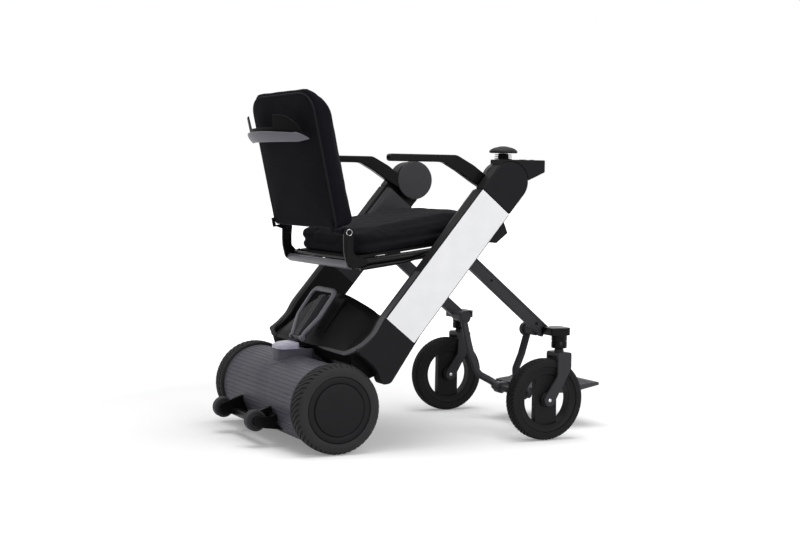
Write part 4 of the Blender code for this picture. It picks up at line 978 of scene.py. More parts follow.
# %% Controls
STICK = (-0.2449, -0.4133, 0.6545)
saddle = 0.0471
box_side = [(-0.3915, 0.6525, 0.002), (-0.5060, 0.6525, 0.003), (-0.5060, 0.6250, 0.003),
            (-0.4820, 0.6140, 0.010), (ARM_TOP[0] - saddle, 0.6060, 0.001)]
box_side += [(y, z, 0) for y, z in arc(ARM_TOP, saddle, 174, 58, 24)]
box_mesh = side_prism(rounded(box_side, 0.003, 5), -1, 0.2245, 0.2760)
piece("control_box", box_mesh, shell, "chair", ["control_box"], bevel=0.0022, segments=4, angle=50)

KNOB_R = 0.0325
knob = [(0.0128, 0), (0.0128, 0.0285), (0.0130, 0.0305), (0.0141, 0.0320), (0.0158, KNOB_R), (0.0175, 0.0321),
        (0.0200, 0.0300), (0.0226, 0.0262), (0.0248, 0.0212), (0.0262, 0.0162), (0.0264, 0.0140),
        (0.0268, 0.0128), (0.0278, 0.0100), (0.0284, 0.0055), (0.0286, 0)]
piece("joystick_knob", turned(knob, STICK, "Z", 64), knob_rubber, "stick", ["joystick_knob"], sharp=50)

bellows = [(-0.0014, 0.0196), (-0.0006, 0.0202), (0.0004, 0.0196), (0.0010, 0.0122), (0.0030, 0.0122),
           (0.0034, 0.0198), (0.0042, 0.0204), (0.0050, 0.0198), (0.0056, 0.0118), (0.0076, 0.0118),
           (0.0080, 0.0190), (0.0088, 0.0196), (0.0096, 0.0190), (0.0102, 0.0112), (0.0120, 0.0110),
           (0.0120, 0.0090), (-0.0014, 0.0090)]
piece("joystick_boot", turned(bellows, STICK, "Z", 48), soft_rubber, "chair", ["joystick_boot"], sharp=50)
refinish("joystick_stem", steel)
refinish("joystick_gimbal", steel)
print("knob", round(2000 * KNOB_R), "mm across")

# %% [markdown]
# ## Button, dial and fold lever
# A power button and a finely knurled speed dial stand in front of the stick. The lever that frees
# the folding front stands out of the right arm's front edge.

# %% Button, dial and fold lever
BUTTON = (-0.2500, -0.4860, 0.6525)
DIAL = (-0.2500, -0.4620, 0.6525)
KNURLS = 24
button = [(-0.0030, 0), (-0.0030, 0.0059), (0.0004, 0.0059), (0.0010, 0.0053), (0.0012, 0.0030), (0.0012, 0)]
piece("power_button", turned(button, BUTTON, "Z", 48), bail_grey, "power_key", ["power_button"], sharp=60)


def knurled_dial():
    """The dial's side is pushed in and out by a cosine round it, on the rows that show."""
    profile = [(-0.0042, 0.0), (-0.0042, 0.0084), (0.0004, 0.0084), (0.0011, 0.0078), (0.0012, 0.0050),
               (0.0009, 0.0046), (0.0009, 0.0)]
    dial = turned(profile, DIAL, "Z", 96)
    for vert in dial.verts:
        flat = vert.co - Vector((DIAL[0], DIAL[1], vert.co.z))
        if flat.length > 0.0080 and vert.co.z > DIAL[2] - 0.001:
            notch = 0.5 + 0.5 * cos(KNURLS * atan2(flat.y, flat.x))
            vert.co -= flat.normalized() * 0.0005 * notch
    return dial


piece("speed_dial", knurled_dial(), bail_grey, "speed_knob", ["speed_dial"], sharp=40)
edge = -ARM_HALF - 0.0012
lever = [on_arm(u, v) for u, v in ((0.0760, edge), (0.0789, -0.0560), (0.0894, -0.0755), (0.1256, -0.0677),
                                   (0.1323, -0.0564), (0.1335, edge))]
piece("fold_lever", side_prism(rounded(lever, 0.0025, 4), -1, 0.2300, 0.2640), shell, "fold_catch",
      ["fold_lever"], bevel=0.0016)
print("dial knurls:", KNURLS)

# %% [markdown]
# ## Front legs
# The legs are flat aluminium bars with rounded edges and a satin coat. A shallow groove runs down
# the outer face, and small bolt heads mark where the bar is clamped. A boss at the foot carries the
# footrest.

# %% Legs
FOLD_PIVOT = (-0.3040, 0.4560)
LEG_END = (-0.5480, 0.2515)
FOOT_PIVOT = (-0.5340, 0.2520)
LEG_L = hypot(LEG_END[0] - FOLD_PIVOT[0], LEG_END[1] - FOLD_PIVOT[1])
LEG_HALF = 0.0145
LEG_FACE = 0.2200


def along_leg(s, v):
    """s from the fold pivot down the leg, v towards its upper edge."""
    dy, dz = (LEG_END[0] - FOLD_PIVOT[0]) / LEG_L, (LEG_END[1] - FOLD_PIVOT[1]) / LEG_L
    return (FOLD_PIVOT[0] + dy * s + dz * v, FOLD_PIVOT[1] + dz * s - dy * v)


def leg_mesh(side):
    outline = [along_leg(LEG_HALF * cos(radians(a)), LEG_HALF * sin(radians(a))) for a in range(90, 271, 12)]
    outline += [along_leg(LEG_L + 0.0035, -LEG_HALF), along_leg(LEG_L + 0.0035, LEG_HALF)]
    parts = [side_prism(outline, side, 0.2035, LEG_FACE)]
    half_lip = 0.0026
    edge = LEG_HALF - half_lip - 0.0004
    for v in (edge, -edge):
        lip = [along_leg(s, v + w) for s, w in ((0.004, -half_lip), (0.004, half_lip),
                                                (LEG_L + 0.0033, half_lip), (LEG_L + 0.0033, -half_lip))]
        parts.append(side_prism(lip, side, LEG_FACE - 0.0030, LEG_FACE + 0.0014))
    boss = ((0.1510, 0), (0.1510, 0.0112), (0.1520, 0.0120), (0.2050, 0.0120), (0.2050, 0))
    parts.append(turned(sided(side, boss), (0, *FOOT_PIVOT), count=48))
    return merged(*parts)


def bolt_head(side, s, r):
    """A round head with a sunk middle on the leg's outer face."""
    low, high = LEG_FACE - 0.0010, LEG_FACE + 0.0016
    profile = ((low, 0), (low, r), (high - 0.0005, r), (high, r * 0.82), (high, r * 0.45),
               (high - 0.0009, r * 0.40), (high - 0.0009, 0))
    return turned(sided(side, profile), (0, *along_leg(s, 0.0)), count=32)


def leg_bolts(side):
    return merged(bolt_head(side, LEG_L - 0.030, 0.0036), bolt_head(side, LEG_L - 0.190, 0.0030))


pair("leg", leg_mesh, leg_paint, "front_frame", bevel=0.0016, segments=3)
pair("leg_bolts", leg_bolts, gloss_black, "front_frame", stands_in=False, sharp=40)
print("leg length", round(1000 * LEG_L), "mm")

# %% [markdown]
# ## Caster mounts and forks
# At each leg's foot a cast clamp holds the swivel's housing. The fork under it is two flat plates
# joined by a crown, straight above the wheel and slanted down to the axle.

# %% Mounts and forks
CASTER_X = 0.2500
STEM_Y = -0.5700
CROWN_TOP = 0.2060
AXLE = (STEM_Y + 0.0380, 0.0957)


def mount_mesh(side):
    past = LEG_END[0] - 0.0140
    plan = [(0.2710, -0.5380, 0.004), (0.2222, -0.5380, 0.002), (0.2222, past, 0.001), (0.2130, past, 0.004),
            (0.2130, STEM_Y - 0.0220, 0.010), (0.2710, STEM_Y - 0.0220, 0.014)]
    outline = [(side * x, y) for x, y in rounded(plan, 0.004, 6)]
    block = prism(outline, 0.2450, 0.2628, "Z")
    stem = (side * CASTER_X, STEM_Y, 0)
    collar = turned([(0.2143, 0.0088), (0.2143, 0.0170), (0.2158, 0.0185), (0.2290, 0.0185), (0.2300, 0.0177),
                     (0.2312, 0.0177), (0.2322, 0.0185), (0.2480, 0.0185), (0.2480, 0.0088)], stem, "Z", 56)
    return merged(block, collar)


def fork_mesh(side):
    gap, thick = 0.0203, 0.0072
    front, back = STEM_Y - 0.0185, STEM_Y + 0.0175
    view = [(front, CROWN_TOP, 0.006), (front, 0.1680, 0.020)]
    view += [(y, z, 0) for y, z in arc(AXLE, 0.0140, 215, 395, 16)]
    view += [(back, 0.1500, 0.020), (back, CROWN_TOP, 0.006)]
    outline = rounded(view, 0.006, 6)
    plates = [side_prism(outline, side, CASTER_X + gap, CASTER_X + gap + thick),
              side_prism(outline, side, CASTER_X - gap - thick, CASTER_X - gap)]
    top = CROWN_TOP - 0.0008
    crown = rounded([(front, 0.1955), (front, top), (back, top), (back, 0.1955)], 0.003)
    bridge = side_prism(crown, side, CASTER_X - gap - 0.003, CASTER_X + gap + 0.003)
    stem = (side * CASTER_X, STEM_Y, 0)
    post = turned([(0.2030, 0), (0.2030, 0.0112), (0.2105, 0.0112), (0.2120, 0.0098), (0.2140, 0.0098),
                   (0.2140, 0.0075), (0.2570, 0.0075), (0.2570, 0)], stem, "Z", 40)
    return merged(*plates, bridge, post)


def axle_bolt(side):
    end = 0.0278
    profile = [(-end, 0), (-end, 0.0034), (-end + 0.0007, 0.0046), (-end + 0.0016, 0.0050)]
    return turned(mirrored(profile), (side * CASTER_X, *AXLE), count=32)


pair("caster_mount", mount_mesh, gloss_black, "front_frame", bevel=0.0024, segments=4, angle=40)
pair("caster_fork", fork_mesh, leg_paint, "caster_{}", bevel=0.0014, segments=3, angle=40)
pair("caster_axle", axle_bolt, steel, "caster_{}", sharp=40)
print("casters at", CASTER_X, "m either side")

# %% [markdown]
# ## Casters
# The front wheels have a finer tread than the rear ones, a stepped sidewall, and one broad web
# across an open ring. The ring is concave on both faces.

# %% Casters
CASTER_TYRE = ((-0.0172, 0.0772, 0), (-0.0187, 0.0786, 0), (-0.0188, 0.0826, 0), (-0.0180, 0.0838, 0),
               (-0.0183, 0.0850, 0), (-0.0184, 0.0880, 0), (-0.0174, 0.0908, 0), (-0.0160, 0.0926, 0.0010),
               (-0.0140, 0.0942, 0.0024), (-0.0110, 0.0953, 0.0028), (-0.0020, 0.0957, 0.0028))
WHEEL_FACE = ((-0.0160, 0.0768), (-0.0168, 0.0750), (-0.0158, 0.0728), (-0.0138, 0.0690), (-0.0132, 0.0650),
              (-0.0136, 0.0618), (-0.0130, 0.0600))
CASTER_LUGS = 60
CASTER_SLANT = 90.0
WEB_HALF = 0.0290


def caster_tyre(side):
    return treaded((side * CASTER_X, *AXLE), side, mirrored(CASTER_TYRE), CASTER_LUGS, CASTER_SLANT)


def across_axle(side, corners, half, radius=0.0):
    """A plate across the wheel from corners given from the axle."""
    outline = [(AXLE[0] + y, AXLE[1] + z) for y, z in corners]
    if radius:
        outline = rounded(outline, radius)
    return side_prism(outline, side, CASTER_X - half, CASTER_X + half)


def caster_wheel(side):
    centre = (side * CASTER_X, *AXLE)
    web = ((-WEB_HALF, -0.0560), (WEB_HALF, -0.0560), (0.0285, 0.0560), (-0.0285, 0.0560))
    parts = [turned(mirrored(WHEEL_FACE), centre), across_axle(side, web, 0.0085, 0.001)]
    for low, high in ((-0.0640, -0.0540), (0.0540, 0.0640)):
        foot = ((-WEB_HALF, low), (WEB_HALF, low), (WEB_HALF, high), (-WEB_HALF, high))
        parts.append(across_axle(side, foot, 0.0080))
    boss = mirrored([(-0.0180, 0), (-0.0180, 0.0150), (-0.0170, 0.0170)])
    parts.append(turned(boss, centre, count=64))
    return merged(*parts)


pair("caster_tyre", caster_tyre, rubber_front, "front_wheel_{}", sharp=30)
pair("caster_wheel", caster_wheel, hub_plastic, "front_wheel_{}", bevel=0.0008, segments=2, angle=50)
print("caster tread lugs:", CASTER_LUGS)

# %% [markdown]
# ## Footrest
# One flattened tube hangs from both legs as a U. The footplate turns on its lowest part: a thin
# wedge with rounded corners and fine ribs on top, so shoes don't slip.

# %% Footrest
FOOT_BAR = (-0.5860, 0.0805)
PLATE_RIBS = 27
RIB_PITCH = 0.0052
RIB_HIGH = 0.0009


def footrest_mesh():
    half = [(0.1600, FOOT_PIVOT[0] - 0.001, FOOT_PIVOT[1] - 0.0120), (0.1350, -0.5350, 0.1880),
            (0.1120, -0.5340, 0.1520), (0.0985, -0.5440, 0.1120),
            (0.0880, FOOT_BAR[0] + 0.006, FOOT_BAR[1] + 0.012), (0.0550, *FOOT_BAR)]
    tube = swept(rounded_path(both_ways(half), 0.032, 8), oval(0.0062, 0.0092, 20, 2.7), up=(0, 1, 0))
    bar = turned(mirrored([(-0.090, 0), (-0.090, 0.0068), (-0.0885, 0.0080)]), (0, *FOOT_BAR), count=40)
    eye = mirrored([(-0.0060, 0.0123), (-0.0062, 0.0150), (-0.0050, 0.0166)])
    eyes = [turned(eye, (side * 0.1580, *FOOT_PIVOT), count=48) for side, _ in SIDES]
    return merged(tube, bar, *eyes)


def footplate_mesh():
    """The plate's side view at stations across it. Its outer ends are shorter, front and rear."""
    rear, toe = -0.6050, -0.7650
    view = [(rear, 0.0955)]
    for k in range(PLATE_RIBS):
        y = -0.6120 - RIB_PITCH * k
        z = 0.0955 + 0.0145 * (rear - y) / 0.1560
        view += [(y, z), (y - RIB_PITCH * 0.16, z + RIB_HIGH), (y - RIB_PITCH * 0.55, z + RIB_HIGH),
                 (y - RIB_PITCH * 0.72, z)]
    view += [(-0.7600, 0.1100), (-0.7640, 0.1084), (toe, 0.1050), (-0.7640, 0.1022), (-0.7130, 0.0930),
             (-0.6300, 0.0872), (rear, 0.0900)]
    rings = []
    for x, back in mirrored([(-0.1280, 0.012), (-0.1272, 0.004), (-0.1250, 0.0), (-0.1120, 0.0)]):
        rear_limit = -0.6560 - back if abs(x) > 0.1200 else rear
        rings.append([(x, max(min(y, rear_limit), toe + back), z) for y, z in view])
    eye = arc(FOOT_BAR, 0.0138, 100, -100, 18) + [(-0.6250, 0.0885), (-0.6250, 0.0940)]
    return merged(joined(rings), *[side_prism(eye, side, 0.0470, 0.0690) for side, _ in SIDES])


piece("footrest_frame", footrest_mesh(), leg_paint, "front_frame", ["footrest_frame"], sharp=40)
piece("footplate", footplate_mesh(), plate_paint, "foot_support", ["footplate"], sharp=25)
print("footplate ribs:", PLATE_RIBS)

# %% [markdown]
# ## Anti-tip rollers
# Two small wheels hang behind the drum between plates, ready to stop the chair from tipping back.
# Each is one moulding: a tread with a fine groove round its middle, and a hub with a raised ring.

# %% Rollers
TIP = (0.1087, 0.1336, 0.0607)
ROLLER_R = 0.0240


def tip_frame_mesh():
    inner, outer = TIP[0] - 0.0102, TIP[0] + 0.0102
    hang = rounded([(DRUM_R + 0.0004, WHEEL_R - 0.0100, 0), (0.1120, 0.0830, 0.008)], 0.008, 4, closed=False)
    hang += arc(TIP[1:], 0.0140, 60, -100, 14) + [(0.1000, 0.0420), (0.0750, 0.0360)]
    hang += [((DRUM_R + 0.0006) * cos(radians(a)), WHEEL_R + (DRUM_R + 0.0006) * sin(radians(a)))
             for a in range(-48, -9, 6)]
    cheek = rounded([(0.0880, 0.0400, 0.004), (0.1180, 0.0440, 0.010)], 0.004, 4, closed=False)
    cheek += arc(TIP[1:], 0.0100, -80, 110, 14) + [(0.1000, 0.0700), (0.0870, 0.0560)]
    tie = [(0.0860, 0.0560), (0.0980, 0.0600), (0.1000, 0.0700), (0.0880, 0.0760)]
    parts = []
    for side, _ in SIDES:
        parts.append(side_prism(hang, side, inner - 0.0080, inner))
        parts.append(side_prism(cheek, side, outer, outer + 0.0058))
        parts.append(cylinder(side * (inner - 0.0030), side * (outer + 0.0040), 0.0050, (0, *TIP[1:]),
                              count=32))
        parts.append(side_prism(tie, side, inner - 0.0040, outer + 0.0040))
    bar = rounded([(0.0980, 0.0440), (0.1200, 0.0440), (0.1200, 0.0600), (0.0980, 0.0600)], 0.005, 5)
    parts.append(prism(bar, -inner + 0.004, inner - 0.004))
    return merged(*parts)


def roller_mesh(side):
    profile = [(-0.0066, 0.0056), (-0.0066, 0.0112), (-0.0088, 0.0118), (-0.0092, 0.0128), (-0.0088, 0.0138),
               (-0.0066, 0.0144), (-0.0062, 0.0176), (-0.0090, 0.0184), (-0.0094, 0.0200), (-0.0090, 0.0226),
               (-0.0078, ROLLER_R), (-0.0020, ROLLER_R), (-0.0016, 0.0232), (-0.0004, 0.0232)]
    return turned(mirrored(profile), (side * TIP[0], *TIP[1:]), count=64)


roller_plastic = moulded("black_wheel", shade(0.030), 0.50)
piece("anti_tip_frame", tip_frame_mesh(), gloss_black, "chair", ["anti_tip_frame"], bevel=0.0010, segments=2)
pair("tip_roller", roller_mesh, roller_plastic, "tip_wheel_{}", sharp=40)
print("rollers", round(2000 * ROLLER_R), "mm across")

# %% [markdown]
# ## Seat frame
# Under the cushion a loop of black steel tube carries the seat board. A pale crossbar joins the two
# back brackets, and a slim rod runs above it.

# %% Seat frame


def seat_frame_mesh():
    half = [(0.1735, *on_seat(-0.0190, 0)), (0.1735, *on_seat(0.0300, 0)), (0.1900, *on_seat(0.1100, 0)),
            (0.1900, *on_seat(0.3000, 0))]
    tube = swept(rounded_path(both_ways(half), 0.045, 8), oval(0.0110, 0.0110, 24))
    rod = [(-0.1790, *on_seat(-0.0120, 0.0150)), (-0.1700, *on_seat(-0.0290, 0.0125))]
    rod += [(-x, y, z) for x, y, z in reversed(rod)]
    parts = [tube, swept(rounded_path(rod, 0.010, 5), oval(0.0036, 0.0036, 14))]
    for side, _ in SIDES:
        parts.append(cylinder(side * 0.1860, side * 0.2150, 0.0100, (0, *FOLD_PIVOT), count=40))
        rail = [(side * x, *on_seat(f, g)) for x, f, g in
                ((0.1850, -0.0150, -0.0110), (0.1935, 0.0900, -0.0100), (0.2010, 0.1700, 0.0020))]
        parts.append(swept(rounded_path(rail, 0.05, 6), oval(0.0042, 0.0042, 14)))
    return merged(*parts)


piece("seat_frame", seat_frame_mesh(), gloss_black, "chair", ["seat_frame"], sharp=50)
bar_at = on_seat(-0.0355, 0.0)
bar_end = [(-0.1842, 0), (-0.1842, 0.0066), (-0.1836, 0.0078), (-0.1818, 0.0088), (-0.1790, 0.0091)]
bar = turned(mirrored(bar_end), (0, *bar_at), count=48)
crossbar_grey = moulded("light_grey_trim", shade(0.150, 0.12), 0.34)
piece("seat_crossbar", bar, crossbar_grey, "chair", ["seat_crossbar"], sharp=50)
refinish("seat_board", soft_rubber)
print("crossbar at", [round(v, 3) for v in bar_at])

# %% [markdown]
# ## Stuffing a cushion
# A cushion starts as a closed form with its seams where they are sewn. It is remeshed evenly, then
# Blender's cloth solver blows it up a little under an even pressure with gravity off, so the panels
# swell and the edges pull in between the corners. How far a point may travel is capped, which keeps
# the cushion's real size. Seams and folds are pressed in afterwards, so they stay crisp.

# %% Cushions
CLOTH_STEPS = 20


def bmesh_object(name, bm):
    bmesh.ops.recalc_face_normals(bm, faces=bm.faces)
    mesh = bpy.data.meshes.new(name)
    bm.to_mesh(mesh)
    bm.free()
    made = bpy.data.objects.new(name, mesh)
    bpy.context.scene.collection.objects.link(made)
    return made


def applied(made):
    """The object's mesh with its modifiers in it, as a new bmesh."""
    bpy.context.view_layer.update()
    seen = made.evaluated_get(bpy.context.evaluated_depsgraph_get())
    bm = bmesh.new()
    bm.from_mesh(seen.to_mesh())
    seen.to_mesh_clear()
    return bm


def discard(made):
    mesh = made.data
    bpy.data.objects.remove(made, do_unlink=True)
    bpy.data.meshes.remove(mesh)


def evened(name, bm, voxel):
    rough = bmesh_object(f"{name}_rough", bm)
    step = rough.modifiers.new("even", "REMESH")
    step.mode = "VOXEL"
    step.voxel_size = voxel
    even = applied(rough)
    discard(rough)
    return even


def stuffed(name, bm, voxel, held, cap, pressure):
    """The form blown up by cloth pressure. held(point) is how firmly a point stays, 0 to 1, and cap
    is how far any point may travel."""
    even = evened(name, bm, voxel)
    for _ in range(3):
        bmesh.ops.smooth_vert(even, verts=even.verts, factor=0.5, use_axis_x=True, use_axis_y=True,
                              use_axis_z=True)
    soft = bmesh_object(f"{name}_soft", even)
    start = [vert.co.copy() for vert in soft.data.vertices]
    group = soft.vertex_groups.new(name="held")
    for vert in soft.data.vertices:
        weight = held(vert.co)
        if weight > 0:
            group.add([vert.index], weight, "REPLACE")
    cloth_step = soft.modifiers.new("pressure", "CLOTH")
    settings = cloth_step.settings
    settings.quality = 4
    settings.mass = 0.3
    settings.tension_stiffness = 12
    settings.compression_stiffness = 12
    settings.bending_stiffness = 0.8
    settings.use_pressure = True
    settings.uniform_pressure_force = pressure
    settings.vertex_group_mass = "held"
    settings.effector_weights.gravity = 0
    cloth_step.collision_settings.use_collision = False
    cloth_step.collision_settings.use_self_collision = False
    scene = bpy.context.scene
    for number in range(1, CLOTH_STEPS + 1):
        scene.frame_set(number)
    seen = soft.evaluated_get(bpy.context.evaluated_depsgraph_get())
    swollen = [vert.co.copy() for vert in seen.data.vertices]
    result = bmesh.new()
    result.from_mesh(soft.data)
    result.verts.ensure_lookup_table()
    for vert, before, after in zip(result.verts, start, swollen):
        move = after - before
        if move.length > cap:
            move *= cap / move.length
        vert.co = before + move
    scene.frame_set(1)
    discard(soft)
    return result


def bell(distance, width):
    return exp(-(distance / width) ** 2)


def moved(bm, moves):
    for vert, move in zip(bm.verts, moves):
        vert.co += move
    return bm


# %% [markdown]
# ## Seat cushion
# The seat cushion is a two-layer foam pad in one woven cover: its top layer is softer and bulges
# over a seam that runs round the sides. It falls away at the front and its corners are round.

# %% Seat cushion
SEAT_LONG = (-0.0180, 0.3270)
SEAT_LOW = 0.0178
SEAT_HALF = 0.181
SEAT_VOXEL = 0.0046


def seat_thickness(t):
    return 0.0480 + 0.0140 * t


def seat_start():
    """A plain closed pad a little smaller than the finished cushion."""
    rear, front = SEAT_LONG[0] + 0.004, SEAT_LONG[1] - 0.004
    outline = rounded([(SEAT_HALF, rear, 0.046), (SEAT_HALF, front, 0.050),
                       (-SEAT_HALF, front, 0.050), (-SEAT_HALF, rear, 0.046)], 0.046, 8)
    middle = sum(SEAT_LONG) / 2
    rings = []
    for share, scale in ((0.0, 0.955), (0.05, 0.985), (0.30, 1.0), (0.52, 0.996), (0.75, 1.0), (0.93, 0.995),
                         (0.98, 0.980), (1.0, 0.945), (1.015, 0.70), (1.02, 0.35)):
        ring = []
        for x, f in outline:
            near_f = middle + (f - middle) * scale
            t = (near_f - SEAT_LONG[0]) / (SEAT_LONG[1] - SEAT_LONG[0])
            fall = 0.018 * max(0.0, (t - 0.72) / 0.28) ** 2
            g = SEAT_LOW + (seat_thickness(t) - fall) * share
            ring.append(Vector((x * scale, *on_seat(near_f, g))))
        rings.append(ring)
    return joined(rings)


def seat_coordinates(point):
    dy, dz = point.y - SEAT_REAR[0], point.z - SEAT_REAR[1]
    return (point.x, -dy * cos(SEAT_TILT) + dz * sin(SEAT_TILT), dy * sin(SEAT_TILT) + dz * cos(SEAT_TILT))


def seat_held(point):
    x, f, g = seat_coordinates(point)
    return 1.0 if g < SEAT_LOW + 0.004 else 0.0


def press_seat(bm):
    """The seam round the sides, and soft draws running in from the corners."""
    bm.normal_update()
    moves = []
    for vert in bm.verts:
        x, f, g = seat_coordinates(vert.co)
        t = min(1.0, max(0.0, (f - SEAT_LONG[0]) / (SEAT_LONG[1] - SEAT_LONG[0])))
        seam_g = SEAT_LOW + seat_thickness(t) * 0.50 - 0.006 * t
        sideways = 1 - abs(vert.normal.dot(Vector((0, sin(SEAT_TILT), cos(SEAT_TILT)))))
        depth = 0.0062 * bell(g - seam_g, 0.0052) * min(1.0, max(0.0, (sideways - 0.25) * 2))
        edge_g = SEAT_LOW + seat_thickness(t) * 0.93
        depth += 0.0010 * bell(g - edge_g, 0.0022) * min(1.0, sideways * 2)
        wrinkle = 0.0006 * sin(70 * x + 45 * f) * sin(90 * f - 22 * x)
        moves.append(vert.normal * (wrinkle - depth))
    return moved(bm, moves)


seat_form = stuffed("seat_cushion", seat_start(), SEAT_VOXEL, seat_held, cap=0.0075, pressure=2.2)
seat_form = press_seat(seat_form)
seat_pad = piece("seat_cushion", seat_form, cloth_seat, "chair", ["seat_cushion"], sharp=0, smooth=1)
print("seat cushion points:", len(seat_pad.data.vertices))

# %% [markdown]
# ## Backrest
# The back is a pad with its cover drawn over a thin panel. The pad's sides bulge forward from the
# seam between the two, and its top rolls up and over to the front.

# %% Back
BACK_HIGH = 0.3320
BACK_LOW = 0.0120
BACK_HALF = 0.1890
BACK_REAR = 0.0380
BACK_VOXEL = 0.0052
BACK_MIDDLE = 0.165
SEAM_B = 0.0262
FRONT_EDGE = ((0.0, -0.0160), (0.06, -0.0165), (0.13, -0.0182), (0.19, -0.0194), (0.22, -0.0196),
              (0.252, -0.0160), (0.276, -0.0100), (0.300, -0.0005), (0.318, 0.0100), (0.330, 0.0200))


def back_point(x, a, b):
    return Vector((x, *on_back(a, b)))


def back_coordinates(point):
    dy, dz = point.y - BACK_PIVOT[0], point.z - BACK_PIVOT[1]
    return (point.x, dy * sin(BACK_LEAN) + dz * cos(BACK_LEAN), dy * cos(BACK_LEAN) - dz * sin(BACK_LEAN))


def back_face(half, low, high, wide=0.080, tall=0.046, steps=16):
    """Front view of the back: broad, low upper corners and small lower ones."""
    points = []
    for sign, start in ((1, 0), (-1, 90)):
        for x, a in arc((0, 0), 1.0, start, start + 90, steps):
            across, up = abs(x) ** 0.80 * (1 if x > 0 else -1), abs(a) ** 0.80
            points.append((sign * (half - wide) + across * wide, high - tall + up * tall))
    for sign, start in ((-1, 180), (1, 270)):
        points += arc((sign * (half - 0.014), low + 0.014), 0.014, start, start + 90, 5)
    return points


def back_pad_start():
    """The pad from its seam forwards: its top rolls up above the rear face, then over to the front."""
    rings = []
    for share, shrink, drop in ((0.0, 0.0040, 0.0130), (0.06, 0.0010, 0.0085), (0.16, 0.0000, 0.0030),
                                (0.30, -0.0006, -0.0008), (0.50, -0.0010, -0.0020), (0.78, 0.0000, 0.0),
                                (0.90, 0.0030, 0.0035), (0.98, 0.0100, 0.0110), (1.0, 0.0220, 0.0220),
                                (1.01, 0.0800, 0.0800)):
        ring = []
        for x, a in back_face(BACK_HALF - shrink, BACK_LOW + 0.002 + shrink * 0.8, BACK_HIGH + 0.0010 - drop):
            front = level(FRONT_EDGE, a) - 0.0060 - 0.0060 * bell(a - 0.19, 0.09)
            ring.append(back_point(x, a, SEAM_B + (front - SEAM_B) * min(share, 1.0)))
        rings.append(ring)
    return joined(rings)


def back_pad_held(point):
    x, a, b = back_coordinates(point)
    return 1.0 if b > 0.0180 else 0.0


def press_back(bm):
    bm.normal_update()
    moves = []
    for vert in bm.verts:
        x, a, b = back_coordinates(vert.co)
        wrinkle = 0.0005 * sin(60 * x + 30 * a) * sin(75 * a - 18 * x)
        side_seam = 0.0014 * bell(b - 0.0030, 0.0026) * (1 if abs(x) > 0.14 or a > 0.27 else 0)
        moves.append(vert.normal * (wrinkle - side_seam))
    return moved(bm, moves)


back_form = stuffed("back_cushion", back_pad_start(), BACK_VOXEL, back_pad_held, cap=0.010, pressure=1.6)
back_form = press_back(back_form)
back_pad = piece("back_cushion", back_form, cloth, "backrest", ["back_cushion"], sharp=0, smooth=1)
print("back pad points:", len(back_pad.data.vertices))

# %% [markdown]
# ## Back panel and piping
# From behind there is a woven face, a little crowned between its sides, with an ear at each lower
# corner for the pivot. A round bead of piping runs along the seam between panel and pad.

# %% Back panel and piping
REAR_TOP = BACK_HIGH - 0.0100


def back_panel_mesh():
    """The rear face: soft at its rim, and gently crowned between its sides."""
    rings = []
    rim_b = 0.0294
    for b, shrink in ((0.0190, 0.0030), (0.0215, 0.0006), (0.0245, 0.0000), (0.0270, 0.0012),
                      (0.0286, 0.0040), (rim_b, 0.0080)):
        face = back_face(BACK_HALF - shrink, BACK_LOW + 0.002 + shrink, REAR_TOP - shrink)
        rings.append([back_point(x, a, b) for x, a in face])
    face = back_face(0.1805, BACK_LOW + 0.010, REAR_TOP - 0.0085)
    for scale in (0.97, 0.90, 0.80, 0.65, 0.45, 0.25, 0.10):
        crown = 0.0086 * (1 - scale ** 3)
        rings.append([back_point(x * scale, BACK_MIDDLE + (a - BACK_MIDDLE) * scale, rim_b + crown)
                      for x, a in face])
    panel = joined(rings)
    ears = []
    for side, _ in SIDES:
        ear = arc(BACK_PIVOT, 0.0100, 160, 320, 14)
        ear += [on_back(a, b) for a, b in ((0.0080, 0.0300), (0.0080, 0.0370), (0.0300, 0.0370),
                                           (0.0300, 0.0310), (0.0110, 0.0310), (0.0100, 0.0060))]
        ears.append(side_prism(ear, side, 0.1775, 0.1843))
    return merged(panel, *ears)


def piping_mesh():
    outline = back_face(BACK_HALF - 0.0010, BACK_LOW + 0.0035, REAR_TOP)
    path = [back_point(x, a, SEAM_B) for x, a in outline]
    return swept(path, oval(0.0024, 0.0024, 10), up=(0, 1, 0), closed=True)


piece("back_panel", back_panel_mesh(), cloth, "backrest", ["back_panel"], sharp=50)
piece("back_piping", piping_mesh(), piping, "backrest", sharp=0)
print("back panel ends", round(1000 * REAR_TOP), "mm above the pivots")

# %% [markdown]
# ## Push handle
# The handle is one bowed plate of grey plastic behind the back. Its lower half is a smooth grip
# that comes to a point at both ends, and two flat wings stand up from it.

# %% Push handle
HANDLE_X = 0.1780
HANDLE_BOW = 0.0500
HANDLE_STATIONS = [-0.1780, -0.1765, -0.1740, -0.1700, -0.1650, -0.1600, -0.1575, -0.1565, -0.1540, -0.1500,
                   -0.1450, -0.1400, -0.1300, -0.1200, -0.1100, -0.1000, -0.0900, -0.0800, -0.0790, -0.0760,
                   -0.0730, -0.0700, -0.0600, -0.0400, -0.0200, 0.0]
HANDLE_STATIONS += [-x for x in reversed(HANDLE_STATIONS[:-1])]


